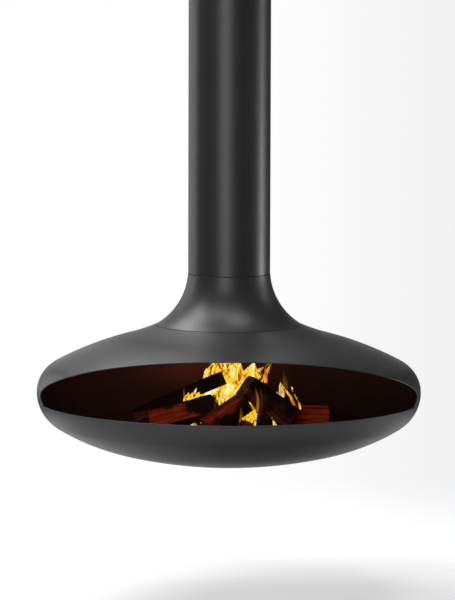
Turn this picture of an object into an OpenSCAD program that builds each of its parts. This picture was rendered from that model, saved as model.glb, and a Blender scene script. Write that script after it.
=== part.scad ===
// Hanging fireplace: a lens-shaped steel hearth that turns on a ball bearing at the foot of its flue tube.
// Millimetres, +Z up. The origin is the centre of the ceiling plate's top face; the mouth looks along -Y.
// The height called 0 in the shell functions is the equator, the widest level of the hearth.

/* [Ceiling fixing] */
// Height of outer tube between the ceiling and the neck
drop = 1580; // [1000:10:2600]
// Diameter of the ceiling plate
plate_d = 420; // [400:5:440]
// Thickness of the ceiling plate
plate_t = 8; // [6:1:12]
// Circle of the ceiling bolts
bolt_pcd = 360; // [340:5:370]
// Number of ceiling bolts
bolt_count = 4; // [3:1:6]
// Hole for one ceiling bolt
bolt_hole_d = 13; // [9:1:15]
// Height of the collar that the tube is screwed to
collar_h = 50; // [40:5:60]
// Wall of that collar
collar_wall = 5; // [4:1:6]
// Screws between tube and collar
collar_screw_count = 6; // [3:1:8]
// Largest diameter of the ceiling rose
rose_d = 464; // [456:2:500]
// Depth of the ceiling rose's cone
rose_h = 70; // [64:2:90]
// Length of the rose's collar on the tube
rose_collar_h = 24; // [20:2:40]
// Wall of the ceiling rose
rose_wall = 1.5; // [1:0.5:2]

/* [Flue] */
// Outer diameter of the flue spigot
spigot_d = 180; // [176:1:182]
// Height of the spigot above the ceiling plate
spigot_rise = 120; // [80:5:160]
// Wall of the spigot
spigot_wall = 1.7; // [1.5:0.1:2]
// Wall of the flue liner
liner_wall = 1; // [0.8:0.1:1.5]
// Number of rings that centre the liner
spacer_count = 3; // [2:1:4]
// Outer diameter of the visible tube
tube_d = 236; // [235:1:240]
// Wall of the visible tube
tube_wall = 3; // [2:0.5:3.5]

/* [Swivel] */
// Diameter of one bearing ball
ball_d = 8; // [7:0.5:8.5]
// Number of bearing balls
ball_count = 24; // [12:1:36]
// Distance from the tube's inner face in to the circle that the balls run on
race_inset = 8.5; // [8:0.25:9]
// Thickness of each race
race_t = 5; // [4:0.5:6]
// Width of each race
race_w = 11; // [10:0.5:11.5]
// Depth of the ball groove in each race
groove_depth = 1.4; // [1:0.1:1.8]
// Thickness of the ring that carries the bearing
support_t = 12; // [8:1:16]
// Distance from the balls' circle in to the bore of the swivel sleeve
sleeve_inset = 11.5; // [11:0.25:12]
// Wall of the swivel sleeve
sleeve_wall = 3.5; // [3:0.5:4]
// Thickness of the sleeve's top flange
flange_t = 6; // [4:1:8]
// Thickness of the ring in the top of the neck
hub_t = 8; // [6:1:12]
// Height of the slotted nut under that ring
nut_h = 10; // [8:1:14]
// Gap between the fixed tube and the turning neck
turn_gap = 1.5; // [1:0.5:3]

/* [Hearth shells] */
// Widest diameter of the hearth
hearth_d = 1108; // [1100:2:1120]
// Wall of neck, hood and bowl
shell_wall = 4; // [3:0.5:5]
// Radius of the hood's side
hood_side_r = 92.2; // [90:0.2:95]
// Sweep of the hood's side arc
hood_side_sweep = 62; // [61:0.5:63]
// Radius of the hood's shoulder
hood_shoulder_r = 957.6; // [950:0.2:965]
// Sweep of the shoulder arc
hood_shoulder_sweep = 13.07; // [12.9:0.01:13.2]
// Radius of the hollow curve beside the neck
hood_crown_r = 594; // [580:1:610]
// Sweep of that hollow curve
hood_crown_sweep = 9.42; // [9.2:0.01:9.6]
// Radius of the neck's flare
neck_flare_r = 187; // [180:1:192]
// Height of the neck above the hood's top edge
neck_h = 149; // [140:1:152]
// Width of the line between neck and hood
neck_line = 1.5; // [1:0.1:2]
// Radius of the bowl's side
bowl_side_r = 113.5; // [110:0.5:116]
// Sweep of the bowl's side arc
bowl_side_sweep = 58.5; // [57:0.5:60]
// Radius of the bowl's slope
bowl_slope_r = 613.4; // [600:0.2:620]
// Angle at which the slope meets the flat bottom curve
bowl_slope_end = 75.66; // [75:0.01:76.5]
// Level of the bowl's rim below the equator
rim_drop = 25.5; // [20:0.5:32]
// Half width of the mouth
mouth_half_w = 538; // [500:2:542]
// Height of the mouth above the equator
mouth_rise = 132; // [110:1:140]

/* [Hearth floor] */
// Level of the fire floor below the equator
floor_drop = 107; // [100:1:116]
// Thickness of the floor plate
floor_t = 6; // [5:0.5:8]
// Number of stubs under the floor
foot_count = 6; // [3:1:8]
// Diameter of the recess for pan and grate
recess_d = 314; // [300:2:330]
// Depth of that recess
recess_depth = 16; // [14:1:20]
// Width of the ledge that the ash pan hangs on
ledge_w = 14; // [12:1:18]
// Depth of the ash pan
pan_depth = 45; // [30:1:52]
// Wall of the ash pan
pan_wall = 1.6; // [1:0.2:2]
// Thickness of the pan's rim
pan_rim_t = 2; // [1.5:0.5:3]
// Width of one grate bar
bar_w = 12; // [8:1:16]
// Width of one gap between the bars
slot_w = 10; // [8:1:14]

/* [Damper] */
// Level of the damper spindle below the neck's top
damper_drop = 118; // [112:1:122]
// Diameter of the spindle
spindle_d = 12; // [10:1:13]
// Gap between the blade's edge and the sleeve
blade_gap = 4; // [3.5:0.5:5]
// Thickness of the blade
blade_t = 3; // [2:0.5:4]
// Length of the lever from the spindle to the knob's centre
lever_l = 80; // [70:1:84]
// Width of the lever
lever_w = 10; // [8:1:12]
// Thickness of the lever
lever_t = 6; // [5:0.5:7]
// Diameter of the knob
knob_d = 24; // [20:1:25]

/* [Fire wood] */
// Side of the long log that points up
high_side = 42; // [38:1:46]
// Side of the log on the left
left_side = 52; // [48:1:54]
// Side of the log in front
front_side = 54; // [50:1:56]
// Side of the log on the right
right_side = 68; // [62:1:70]
// Side of the flat log at the right end
end_side = 52; // [46:1:56]
// Side of the billets under the logs
billet_side = 40; // [36:1:42]

/* [Hidden] */
$fn = 96;
// Clearance between pieces that are welded, hooped or laid together
seat = 0.3;
// Radial running clearance of shafts and balls
run = 0.05;
// Largest distance between a shell's arcs and their chords
chord_error = 0.12;
// Overshoot of a cutting solid past the faces that it cuts
past = 1;

tube_r = tube_d / 2;
tube_in_r = tube_r - tube_wall;
plate_r = plate_d / 2;
spigot_r = spigot_d / 2;
spigot_in_r = spigot_r - spigot_wall;
liner_r = spigot_in_r - seat;
hearth_r = hearth_d / 2;

// Screws: shank, head and head height
m6 = [6, 10, 3];
m5 = [5, 9, 3];
m4_grub = [4, 4, 0];
rivet = [3.2, 6.4, 1.2];
hole_play = 0.4;

// Ceiling fixing
spigot_tail = 30;
shoulder_r = spigot_r + 2;
spigot_flange_w = 17;
spigot_flange_t = 2.5;
spigot_screw_count = 4;
blind_depth = 6;
liner_lap = 40;
rivet_count = 3;
rivet_z = -spigot_tail + 10;
rivet_start = 30;
collar_r = tube_in_r - seat;
collar_screw_z = -plate_t - collar_h / 2;
tube_top_gap = 4;
rose_rim_h = plate_t + 4;
rose_grub_count = 3;
spacer_h = 16;
spacer_band = 3;
arm_w = 12;
arm_inset = 2;
arm_count = 3;

// Swivel, upwards from the foot of the tube
ball_r = ball_d / 2;
ball_pcd = 2 * (tube_in_r - race_inset);
support_z = -drop + 2;
lower_race_z = support_z + support_t;
ball_z = lower_race_z + race_t + ball_r - groove_depth;
upper_race_z = ball_z + ball_r - groove_depth;
flange_z = upper_race_z + race_t;
sleeve_top_z = flange_z + flange_t;
sleeve_in_r = ball_pcd / 2 - sleeve_inset;
sleeve_r = sleeve_in_r + sleeve_wall;
sleeve_play = 1;
cage_t = 2;
cage_play = 0.5;
liner_foot_z = -drop + 7;
rope_turns = 3;
rope_d = sleeve_in_r - liner_r - 2 * seat;
hub_z = -drop - turn_gap - 4 - hub_t;
nut_w = 11;
nut_slot_count = 4;
nut_slot = 8;

// Tangent arcs of the hood, from the equator upwards. Angles are measured at each arc's centre from +X.
shoulder_end = hood_side_sweep + hood_shoulder_sweep;
crown_end = shoulder_end - hood_crown_sweep;
hood_side_c = [hearth_r - hood_side_r, 0];
shoulder_c = hood_side_c + (hood_side_r - hood_shoulder_r) * unit(hood_side_sweep);
crown_c = shoulder_c + (hood_shoulder_r + hood_crown_r) * unit(shoulder_end);
hood_top = crown_c - hood_crown_r * unit(crown_end);

// The neck's flare is one hollow arc that would end upright on the tube's own radius.
flare_c = [tube_r + neck_flare_r,
           hood_top[1] + sqrt(neck_flare_r ^ 2 - (tube_r + neck_flare_r - hood_top[0]) ^ 2)];
flare_foot = acos((flare_c[0] - hood_top[0]) / neck_flare_r) - neck_line / neck_flare_r * 180 / PI;
neck_top = hood_top[1] + neck_h;
equator_z = -drop - neck_top;

// Tangent arcs of the bowl, from the equator downwards
bowl_side_c = [hearth_r - bowl_side_r, 0];
slope_c = bowl_side_c + (bowl_side_r - bowl_slope_r) * unit(-bowl_side_sweep);
bottom_r = (slope_c[0] + bowl_slope_r * cos(bowl_slope_end)) / cos(bowl_slope_end);
bottom_c = [0, slope_c[1] + (bottom_r - bowl_slope_r) * sin(bowl_slope_end)];
slope_top = slope_c[1] - bowl_slope_r * sin(bowl_side_sweep);
bowl_foot_z = equator_z + bottom_c[1] - bottom_r;

// Ring behind the line between neck and hood
band_t = 3;
band_sweep_up = 6;
band_sweep_down = 2;

// Hearth floor
floor_z = equator_z - floor_drop;
floor_r = cavity_r(-floor_drop - floor_t) - seat;
foot_d = 24;
foot_circle_r = 300;
recess_r = recess_d / 2;
ring_wall = 3;
ring_lip = 12;
ledge_r = recess_r - ledge_w;
pan_play = 2;
pan_taper = 20;
grate_play = 0.8;
grate_rim = 16;
pan_rim_z = floor_z - recess_depth + seat;
grate_z = pan_rim_z + pan_rim_t + seat;

// Damper
damper_z = -drop - damper_drop;
sleeve_skirt = 20;
spindle_r = spindle_d / 2;
spindle_flat = 4.5;
bush_wall = 3;
bush_flange_w = 3;
bush_flange_t = 2;
collar_t = 2.5;
washer_t = 1.2;
blade_r = sleeve_in_r - blade_gap;
flat_half_l = blade_r + seat;
blade_screw_x = 45;
nut_t = 4;
bush_face = sleeve_r + seat + bush_flange_t;
lever_x = bush_face + washer_t + 2 * seat;
lever_boss_r = 11;
stud_d = 5;
stud_l = 12;

// Leaning logs: foot in plan, heading in which the log rises, tilt, length
high_place = [-262, 108, -24, 24.5, 300];
left_place = [-214, -5, -22, 17, 190];
front_place = [-50, -166, 27, 29, 140];
right_place = [160, -6, 200, 36, 172];
// Billets under them: length and shift to the side
billet_low_fit = [90, 14];
billet_top_fit = [80, 12];
billet_left_fit = [76, 16];
billet_front_fit = [70, 0];
billet_right_fit = [100, 10];
billet_low_side = 52;
// Flat log: middle in plan, heading, length
end_place = [160, 86, 3, 265];
// Share of a log's side that its split corner loses
wane = 0.16;

// Colours as in the photograph
black_paint = "#38393b";
dark_steel = "#232323";
bright_steel = "#a9acb0";
soot = "#17110f";
rope_white = "#cfc8b8";
char_brown = "#3a1710";
wood_red = "#5e2417";

// ---- Shared geometry ----

function unit(a) = [cos(a), sin(a)];

// Number of chords that keep an arc within chord_error
function chords(r, sweep) = max(1, ceil(abs(sweep) / (2 * acos(1 - chord_error / r))));

// Points of an arc about c; a negative r gives the far side of the centre, for a hollow curve
function arc(c, r, a0, a1) =
    let (n = chords(abs(r), a1 - a0))
    [for (i = [0:n]) c + r * unit(a0 + (a1 - a0) * i / n)];

// Outer face of the hood moved inwards by w, from the rim plane up to the neck's line
function hood_line(w) = concat(
    arc(bowl_side_c, bowl_side_r - w, -asin(rim_drop / (bowl_side_r - w)), 0),
    arc(hood_side_c, hood_side_r - w, 0, hood_side_sweep),
    arc(shoulder_c, hood_shoulder_r - w, hood_side_sweep, shoulder_end),
    arc(crown_c, -hood_crown_r - w, shoulder_end, crown_end));

// Outer face of the bowl moved inwards by w, from the rim plane down to the axis
function bowl_line(w) = concat(
    arc(bowl_side_c, bowl_side_r - w, -asin(rim_drop / (bowl_side_r - w)), -bowl_side_sweep),
    arc(slope_c, bowl_slope_r - w, -bowl_side_sweep, -bowl_slope_end),
    arc(bottom_c, bottom_r - w, -bowl_slope_end, -90));

// Outer face of the neck moved inwards by w, from its foot to its top edge
function neck_line_points(w) =
    arc(flare_c, -neck_flare_r - w, flare_foot, asin((flare_c[1] - neck_top + turn_gap) / (neck_flare_r + w)));

// Radius of the neck's inner face at a height above the equator
function neck_in_r(h) = flare_c[0] - sqrt((neck_flare_r + shell_wall) ^ 2 - (flare_c[1] - h) ^ 2);

// Radius of the bowl's inner face at a height, which is negative below the equator
function cavity_r(h) = h > slope_top
    ? bowl_side_c[0] + sqrt((bowl_side_r - shell_wall) ^ 2 - h ^ 2)
    : slope_c[0] + sqrt((bowl_slope_r - shell_wall) ^ 2 - (slope_c[1] - h) ^ 2);

// Keeps only points that differ from the one before
function tidy(p) = [for (i = [0:len(p) - 1]) if (i == 0 || norm(p[i] - p[i - 1]) > 0.001) p[i]];

function reversed(p) = [for (i = [len(p) - 1:-1:0]) p[i]];

// Closed section between two lines of points
module skin(outer, inner) {
    polygon(tidy(concat(outer, reversed(inner))));
}

module tube(r_out, r_in, z0, z1) {
    translate([0, 0, z0])
        difference() {
            cylinder(h = z1 - z0, r = r_out);
            translate([0, 0, -past])
                cylinder(h = z1 - z0 + 2 * past, r = r_in);
        }
}

// Copies its children round the axis
module around(count, start = 0) {
    for (i = [0:count - 1])
        rotate([0, 0, start + i * 360 / count])
            children();
}

// Screw on its own axis: the shank points along -Z, the head's foot is at the origin
module screw(size, l) {
    translate([0, 0, -l])
        cylinder(h = l + size[2] / 2, d = size[0], $fn = 32);
    if (size[2] > 0)
        cylinder(h = size[2], d = size[1], $fn = 32);
}

// Cutter for the shank of a screw that comes along a radius at height z
module radial_hole(size, r_out, r_in, z) {
    translate([r_in - past, 0, z])
        rotate([0, 90, 0])
            cylinder(h = r_out - r_in + 2 * past, d = size[0] + hole_play, $fn = 32);
}

// Radial screw with its head on the radius r
module radial_screw(size, r, l, z) {
    translate([r, 0, z])
        rotate([0, 90, 0])
            screw(size, l);
}

// ---- Ceiling fixing ----

module ceiling_plate() {
    color(dark_steel)
        difference() {
            tube(plate_r, shoulder_r + hole_play, -plate_t, 0);
            around(bolt_count, 180 / bolt_count)
                translate([bolt_pcd / 2, 0, -plate_t - past])
                    cylinder(h = plate_t + 2 * past, d = bolt_hole_d, $fn = 48);
            around(spigot_screw_count)
                translate([spigot_r + spigot_flange_w / 2, 0, -plate_t - past])
                    cylinder(h = min(blind_depth, plate_t - 1) + past, d = m5[0] + hole_play, $fn = 32);
        }
}

module hanging_collar() {
    color(dark_steel)
        difference() {
            tube(collar_r, collar_r - collar_wall, -plate_t - collar_h, -plate_t);
            around(collar_screw_count)
                radial_hole(m6, collar_r, collar_r - collar_wall, collar_screw_z);
        }
}

module collar_screws() {
    color(bright_steel)
        around(collar_screw_count)
            radial_screw(m6, tube_r + seat, tube_wall + collar_wall, collar_screw_z);
}

module flue_spigot() {
    color(bright_steel)
        difference() {
            union() {
                tube(spigot_r, spigot_in_r, -spigot_tail, spigot_rise);
                tube(shoulder_r, spigot_in_r, -plate_t, 0);
                tube(spigot_r + spigot_flange_w, spigot_in_r, -plate_t - spigot_flange_t, -plate_t);
            }
            around(spigot_screw_count)
                translate([spigot_r + spigot_flange_w / 2, 0, -plate_t - spigot_flange_t - past])
                    cylinder(h = spigot_flange_t + 2 * past, d = m5[0] + hole_play, $fn = 32);
            around(rivet_count, rivet_start)
                radial_hole(rivet, spigot_r, spigot_in_r, rivet_z);
        }
}

module spigot_screws() {
    color(bright_steel)
        around(spigot_screw_count)
            translate([spigot_r + spigot_flange_w / 2, 0, -plate_t - spigot_flange_t])
                rotate([180, 0, 0])
                    screw(m5, spigot_flange_t + min(blind_depth, plate_t - 1) - 1);
}

module liner_rivets() {
    color(bright_steel)
        around(rivet_count, rivet_start)
            radial_screw(rivet, spigot_r + seat / 2, spigot_wall + liner_wall + 1, rivet_z);
}

module ceiling_rose() {
    collar_in = tube_r + seat;
    rim_in = rose_d / 2 - rose_wall;
    color(black_paint)
        difference() {
            rotate_extrude()
                polygon([
                    [collar_in, -rose_h - rose_collar_h],
                    [collar_in + rose_wall, -rose_h - rose_collar_h],
                    [collar_in + rose_wall, -rose_h],
                    [rim_in + rose_wall, -rose_rim_h],
                    [rim_in + rose_wall, -seat],
                    [rim_in, -seat],
                    [rim_in, -rose_rim_h + rose_wall / 2],
                    [collar_in, -rose_h + rose_wall]
                ]);
            around(rose_grub_count, 90)
                radial_hole(m4_grub, collar_in + rose_wall, collar_in, -rose_h - rose_collar_h / 2);
        }
}

module rose_screws() {
    color(dark_steel)
        around(rose_grub_count, 90)
            radial_screw(m4_grub, tube_r + seat + rose_wall + 1, rose_wall + 1, -rose_h - rose_collar_h / 2);
}

// ---- Tube and flue ----

module outer_tube() {
    color(black_paint)
        difference() {
            tube(tube_r, tube_in_r, -drop, -plate_t - tube_top_gap);
            around(collar_screw_count)
                radial_hole(m6, tube_r, tube_in_r, collar_screw_z);
        }
}

module flue_liner() {
    color(bright_steel)
        difference() {
            tube(liner_r, liner_r - liner_wall, liner_foot_z, -spigot_tail + liner_lap);
            around(rivet_count, rivet_start)
                radial_hole(rivet, liner_r, liner_r - liner_wall, rivet_z);
        }
}

module liner_spacers() {
    ring_r = liner_r + seat;
    pitch = (drop - collar_h) / (spacer_count + 1);
    color(bright_steel)
        for (i = [1:spacer_count])
            translate([0, 0, -collar_h - i * pitch]) {
                tube(ring_r + spacer_band, ring_r, 0, spacer_h);
                intersection() {
                    tube(tube_in_r - seat, ring_r + spacer_band / 2, arm_inset, spacer_h - arm_inset);
                    around(arm_count)
                        translate([0, -arm_w / 2, 0])
                            cube([tube_r, arm_w, spacer_h]);
                }
            }
}

// ---- Swivel ----

module support_ring() {
    color(dark_steel)
        tube(tube_in_r - seat, sleeve_r + sleeve_play, support_z, lower_race_z);
}

// Race with a round groove for the balls, cut at the balls' own height
module race(z) {
    difference() {
        tube((ball_pcd + race_w) / 2, (ball_pcd - race_w) / 2, z, z + race_t);
        rotate_extrude()
            translate([ball_pcd / 2, ball_z])
                circle(r = ball_r + run, $fn = 48);
    }
}

module lower_race() {
    color(bright_steel)
        race(lower_race_z);
}

module upper_race() {
    color(bright_steel)
        race(upper_race_z);
}

module bearing_balls() {
    color(bright_steel)
        around(ball_count)
            translate([ball_pcd / 2, 0, ball_z])
                sphere(r = ball_r, $fn = 32);
}

module ball_cage() {
    color("#9a7b3c")
        difference() {
            tube((ball_pcd + race_w) / 2 - cage_play, (ball_pcd - race_w) / 2 + cage_play,
                 ball_z - cage_t / 2, ball_z + cage_t / 2);
            around(ball_count)
                translate([ball_pcd / 2, 0, ball_z - cage_t])
                    cylinder(h = 2 * cage_t, r = ball_r + 2 * run, $fn = 32);
        }
}

module swivel_sleeve() {
    color(dark_steel)
        difference() {
            union() {
                tube(sleeve_r, sleeve_in_r, damper_z - sleeve_skirt, sleeve_top_z);
                tube((ball_pcd + race_w) / 2, sleeve_in_r, flange_z, sleeve_top_z);
            }
            for (side = [-1, 1])
                translate([side * sleeve_in_r, 0, damper_z])
                    rotate([0, 90, 0])
                        cylinder(h = 4 * sleeve_wall, r = spindle_r + bush_wall + seat, center = true, $fn = 48);
        }
}

module seal_rope() {
    color(rope_white)
        for (i = [0:rope_turns - 1])
            translate([0, 0, liner_foot_z + 3 + i * (rope_d + seat)])
                rotate_extrude()
                    translate([(sleeve_in_r + liner_r) / 2, rope_d / 2])
                        circle(d = rope_d, $fn = 24);
}

module hub_ring() {
    color(dark_steel)
        tube(neck_in_r(hub_z + hub_t - equator_z) - seat, sleeve_r + seat, hub_z, hub_z + hub_t);
}

module ring_nut() {
    color(bright_steel)
        difference() {
            tube(sleeve_r + nut_w, sleeve_r + seat, hub_z - nut_h, hub_z);
            around(nut_slot_count)
                translate([sleeve_r + nut_w - nut_slot / 2, -nut_slot / 2, hub_z - nut_h - past])
                    cube([nut_slot, nut_slot, nut_h + 2 * past]);
        }
}

// ---- Hearth shells ----

module neck() {
    color(black_paint)
        translate([0, 0, equator_z])
            rotate_extrude()
                skin(neck_line_points(0), neck_line_points(shell_wall));
}

// Rolled band welded inside, half behind the neck and half behind the hood
module joint_ring() {
    function band(w) = concat(
        arc(crown_c, -hood_crown_r - w, crown_end + band_sweep_down, crown_end),
        arc(flare_c, -neck_flare_r - w, flare_foot, flare_foot - band_sweep_up));
    color(dark_steel)
        translate([0, 0, equator_z])
            rotate_extrude()
                skin(band(shell_wall + seat), band(shell_wall + seat + band_t));
}

// Front view of the mouth: an ellipse about the equator, extruded through the front of the hood
module mouth_cut() {
    step = 5;
    rotate([90, 0, 0])
        linear_extrude(height = hearth_d)
            polygon([for (a = [0:step:360 - step]) [mouth_half_w * cos(a), mouth_rise * sin(a)]]);
}

module hood() {
    color(black_paint)
        translate([0, 0, equator_z])
            difference() {
                rotate_extrude()
                    skin(hood_line(0), hood_line(shell_wall));
                mouth_cut();
            }
}

module bowl() {
    color(black_paint)
        translate([0, 0, equator_z])
            rotate_extrude()
                skin(bowl_line(0), bowl_line(shell_wall));
}

// ---- Hearth floor ----

module hearth_plate() {
    color(soot)
        tube(floor_r, recess_r + ring_wall + seat, floor_z - floor_t, floor_z);
}

// Stubs whose feet follow the bowl
module plate_feet() {
    color(dark_steel)
        intersection() {
            around(foot_count, 15)
                translate([foot_circle_r, 0, bowl_foot_z])
                    cylinder(h = floor_z - floor_t - seat - bowl_foot_z, d = foot_d, $fn = 32);
            translate([0, 0, equator_z])
                rotate_extrude()
                    polygon(tidy(concat([[0, -rim_drop]], bowl_line(shell_wall + seat))));
        }
}

// Stepped ring: a lip under the floor plate, a wall, and the ledge for the ash pan
module pan_ring() {
    wall_r = recess_r + ring_wall;
    lip_z = floor_z - floor_t;
    ledge_z = floor_z - recess_depth;
    color(dark_steel)
        rotate_extrude()
            polygon([
                [recess_r, floor_z],
                [wall_r, floor_z],
                [wall_r, lip_z],
                [wall_r + ring_lip, lip_z],
                [wall_r + ring_lip, lip_z - ring_wall],
                [wall_r, lip_z - ring_wall],
                [wall_r, ledge_z - ring_wall],
                [ledge_r, ledge_z - ring_wall],
                [ledge_r, ledge_z],
                [recess_r, ledge_z]
            ]);
}

module ash_pan() {
    rim_r = recess_r - grate_play;
    mouth_r = ledge_r - pan_play;
    base_r = mouth_r - pan_taper;
    base_z = pan_rim_z - pan_depth;
    rim_top = pan_rim_z + pan_rim_t;
    color(dark_steel)
        rotate_extrude()
            polygon([
                [0, base_z],
                [base_r, base_z],
                [mouth_r, pan_rim_z],
                [rim_r, pan_rim_z],
                [rim_r, rim_top],
                [mouth_r - pan_wall, rim_top],
                [base_r - pan_wall, base_z + pan_wall],
                [0, base_z + pan_wall]
            ]);
}

// Round grate with straight slots that end on a circle inside its rim
module fire_grate() {
    grate_r = recess_r - grate_play;
    slot_r = grate_r - grate_rim;
    pitch = bar_w + slot_w;
    rows = floor((slot_r - slot_w / 2) / pitch);
    color(soot)
        difference() {
            translate([0, 0, grate_z])
                cylinder(h = floor_z - grate_z, r = grate_r);
            for (i = [-rows:rows]) {
                half_l = sqrt(slot_r ^ 2 - (abs(i) * pitch + slot_w / 2) ^ 2);
                translate([-half_l, i * pitch - slot_w / 2, grate_z - past])
                    cube([2 * half_l, slot_w, recess_depth + 2 * past]);
            }
        }
}

// ---- Damper ----

// Places its children on the spindle's axis, with Z along +X
module on_spindle(x) {
    translate([x, 0, damper_z])
        rotate([0, 90, 0])
            children();
}

module damper_bushes() {
    body_r = spindle_r + bush_wall;
    body_l = sleeve_wall + 3;
    color("#8c6f3a")
        for (side = [0, 180])
            rotate([0, 0, side])
                on_spindle(sleeve_r + seat)
                    difference() {
                        union() {
                            translate([0, 0, -body_l])
                                cylinder(h = body_l + bush_flange_t, r = body_r, $fn = 48);
                            cylinder(h = bush_flange_t, r = body_r + bush_flange_w, $fn = 48);
                        }
                        translate([0, 0, -body_l - past])
                            cylinder(h = body_l + bush_flange_t + 2 * past, r = spindle_r + run, $fn = 48);
                    }
}

module damper_spindle() {
    head_x = bush_face + seat;
    tail_x = lever_x + lever_t;
    color(bright_steel)
        difference() {
            union() {
                on_spindle(-tail_x)
                    cylinder(h = tail_x + head_x, r = spindle_r, $fn = 48);
                on_spindle(head_x)
                    cylinder(h = collar_t, r = spindle_r + bush_wall, $fn = 48);
            }
            for (side = [-1, 1])
                translate([-flat_half_l, side * (spindle_flat + spindle_r / 2) - spindle_r / 2,
                           damper_z - spindle_r - past])
                    cube([2 * flat_half_l, spindle_r, spindle_d + 2 * past]);
            for (x = [-blade_screw_x, blade_screw_x])
                translate([x, 0, damper_z])
                    rotate([90, 0, 0])
                        cylinder(h = 2 * spindle_d, d = m5[0] + hole_play, center = true, $fn = 32);
            on_spindle(-tail_x - past)
                cylinder(h = stud_l + 4, d = m5[0] + hole_play, $fn = 32);
        }
}

// Round plate, upright when the damper is open
module damper_blade() {
    color(dark_steel)
        difference() {
            translate([0, spindle_flat, damper_z])
                rotate([-90, 0, 0])
                    cylinder(h = blade_t, r = blade_r);
            for (x = [-blade_screw_x, blade_screw_x])
                translate([x, spindle_flat - past, damper_z])
                    rotate([-90, 0, 0])
                        cylinder(h = blade_t + 2 * past, d = m5[0] + hole_play, $fn = 32);
        }
}

module blade_screws() {
    back = spindle_flat + blade_t;
    color(bright_steel)
        for (x = [-blade_screw_x, blade_screw_x])
            translate([x, 0, damper_z]) {
                translate([0, -spindle_flat, 0])
                    rotate([90, 0, 0])
                        screw(m5, spindle_flat + back + nut_t);
                translate([0, back, 0])
                    rotate([-90, 0, 0])
                        difference() {
                            cylinder(h = nut_t, d = m5[1], $fn = 6);
                            translate([0, 0, -past])
                                cylinder(h = nut_t + 2 * past, d = m5[0] + 4 * run, $fn = 32);
                        }
            }
}

module spring_washer() {
    color(bright_steel)
        on_spindle(-bush_face - seat - washer_t)
            difference() {
                cylinder(h = washer_t, r = spindle_r + bush_wall, $fn = 48);
                translate([0, 0, -past])
                    cylinder(h = washer_t + 2 * past, r = spindle_r + seat, $fn = 48);
            }
}

module damper_lever() {
    arm_l = lever_l - knob_d / 2 + 2;
    color(dark_steel)
        difference() {
            union() {
                on_spindle(-lever_x - lever_t)
                    cylinder(h = lever_t, r = lever_boss_r, $fn = 48);
                translate([-lever_x - lever_t, -lever_w / 2, damper_z - arm_l])
                    cube([lever_t, lever_w, arm_l]);
                translate([-lever_x - lever_t / 2, 0, damper_z - arm_l - stud_l])
                    cylinder(h = stud_l + 1, d = stud_d, $fn = 32);
            }
            on_spindle(-lever_x - lever_t - past)
                cylinder(h = lever_t + 2 * past, r = spindle_r + run, $fn = 48);
        }
}

module lever_screw() {
    color(bright_steel)
        on_spindle(-lever_x - lever_t - seat)
            rotate([180, 0, 0])
                screw([m5[0], 2 * (spindle_r + bush_wall), m5[2]], stud_l);
}

module damper_knob() {
    arm_l = lever_l - knob_d / 2 + 2;
    color(bright_steel)
        translate([-lever_x - lever_t / 2, 0, damper_z])
            difference() {
                translate([0, 0, -lever_l])
                    sphere(d = knob_d, $fn = 48);
                translate([-lever_t, -lever_w, -arm_l - seat])
                    cube([2 * lever_t, 2 * lever_w, knob_d]);
                translate([0, 0, -arm_l - stud_l - 1])
                    cylinder(h = stud_l + knob_d, d = stud_d + 2 * run, $fn = 32);
            }
}

// ---- Fire wood ----

// Split log along +X: square, with one upper corner lost in the splitting
module split_log(l, side) {
    cut = side * wane;
    translate([0, side / 2, 0])
        rotate([90, 0, 90])
            mirror([1, 0, 0])
                linear_extrude(height = l)
                    polygon([[0, 0], [side, 0], [side, side - cut], [side - cut, side], [0, side]]);
}

// A log whose foot is on the floor and which rises at its tilt
module leaning_log(place, side) {
    translate([place[0], place[1], floor_z])
        rotate([0, 0, place[2]])
            rotate([0, -place[3], 0])
                translate([0, 0, seat])
                    split_log(place[4], side);
}

// A billet laid across under a leaning log, so that its near top edge carries the log
module cross_billet(place, fit, side, base = 0) {
    reach = (base + seat + side) / tan(place[3]);
    translate([place[0], place[1], floor_z])
        rotate([0, 0, place[2]])
            translate([reach + side / 2, fit[1] - fit[0] / 2, base + seat])
                rotate([0, 0, 90])
                    split_log(fit[0], side);
}

module log_high() {
    color(char_brown)
        leaning_log(high_place, high_side);
}

module log_left() {
    color(wood_red)
        leaning_log(left_place, left_side);
}

module log_front() {
    color(wood_red)
        leaning_log(front_place, front_side);
}

module log_right() {
    color(char_brown)
        leaning_log(right_place, right_side);
}

module log_end() {
    color(wood_red)
        translate([end_place[0], end_place[1], floor_z + seat])
            rotate([0, 0, end_place[2]])
                translate([-end_place[3] / 2, 0, 0])
                    split_log(end_place[3], end_side);
}

module billet_low() {
    color(char_brown)
        cross_billet(high_place, billet_low_fit, billet_low_side);
}

module billet_top() {
    color(char_brown)
        cross_billet(high_place, billet_top_fit, billet_side, billet_low_side + seat);
}

module billet_left() {
    color(char_brown)
        cross_billet(left_place, billet_left_fit, billet_side);
}

module billet_front() {
    color(char_brown)
        cross_billet(front_place, billet_front_fit, billet_side);
}

module billet_right() {
    color(wood_red)
        cross_billet(right_place, billet_right_fit, billet_side);
}

ceiling_plate();
hanging_collar();
collar_screws();
flue_spigot();
spigot_screws();
liner_rivets();
ceiling_rose();
rose_screws();
outer_tube();
flue_liner();
liner_spacers();
support_ring();
lower_race();
seal_rope();
bearing_balls();
ball_cage();
upper_race();
swivel_sleeve();
hub_ring();
ring_nut();
neck();
joint_ring();
hood();
bowl();
hearth_plate();
plate_feet();
pan_ring();
damper_bushes();
damper_spindle();
damper_blade();
blade_screws();
spring_washer();
damper_lever();
lever_screw();
damper_knob();
ash_pan();
fire_grate();
log_high();
log_left();
log_front();
log_right();
log_end();
billet_low();
billet_top();
billet_left();
billet_front();
billet_right();
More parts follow.
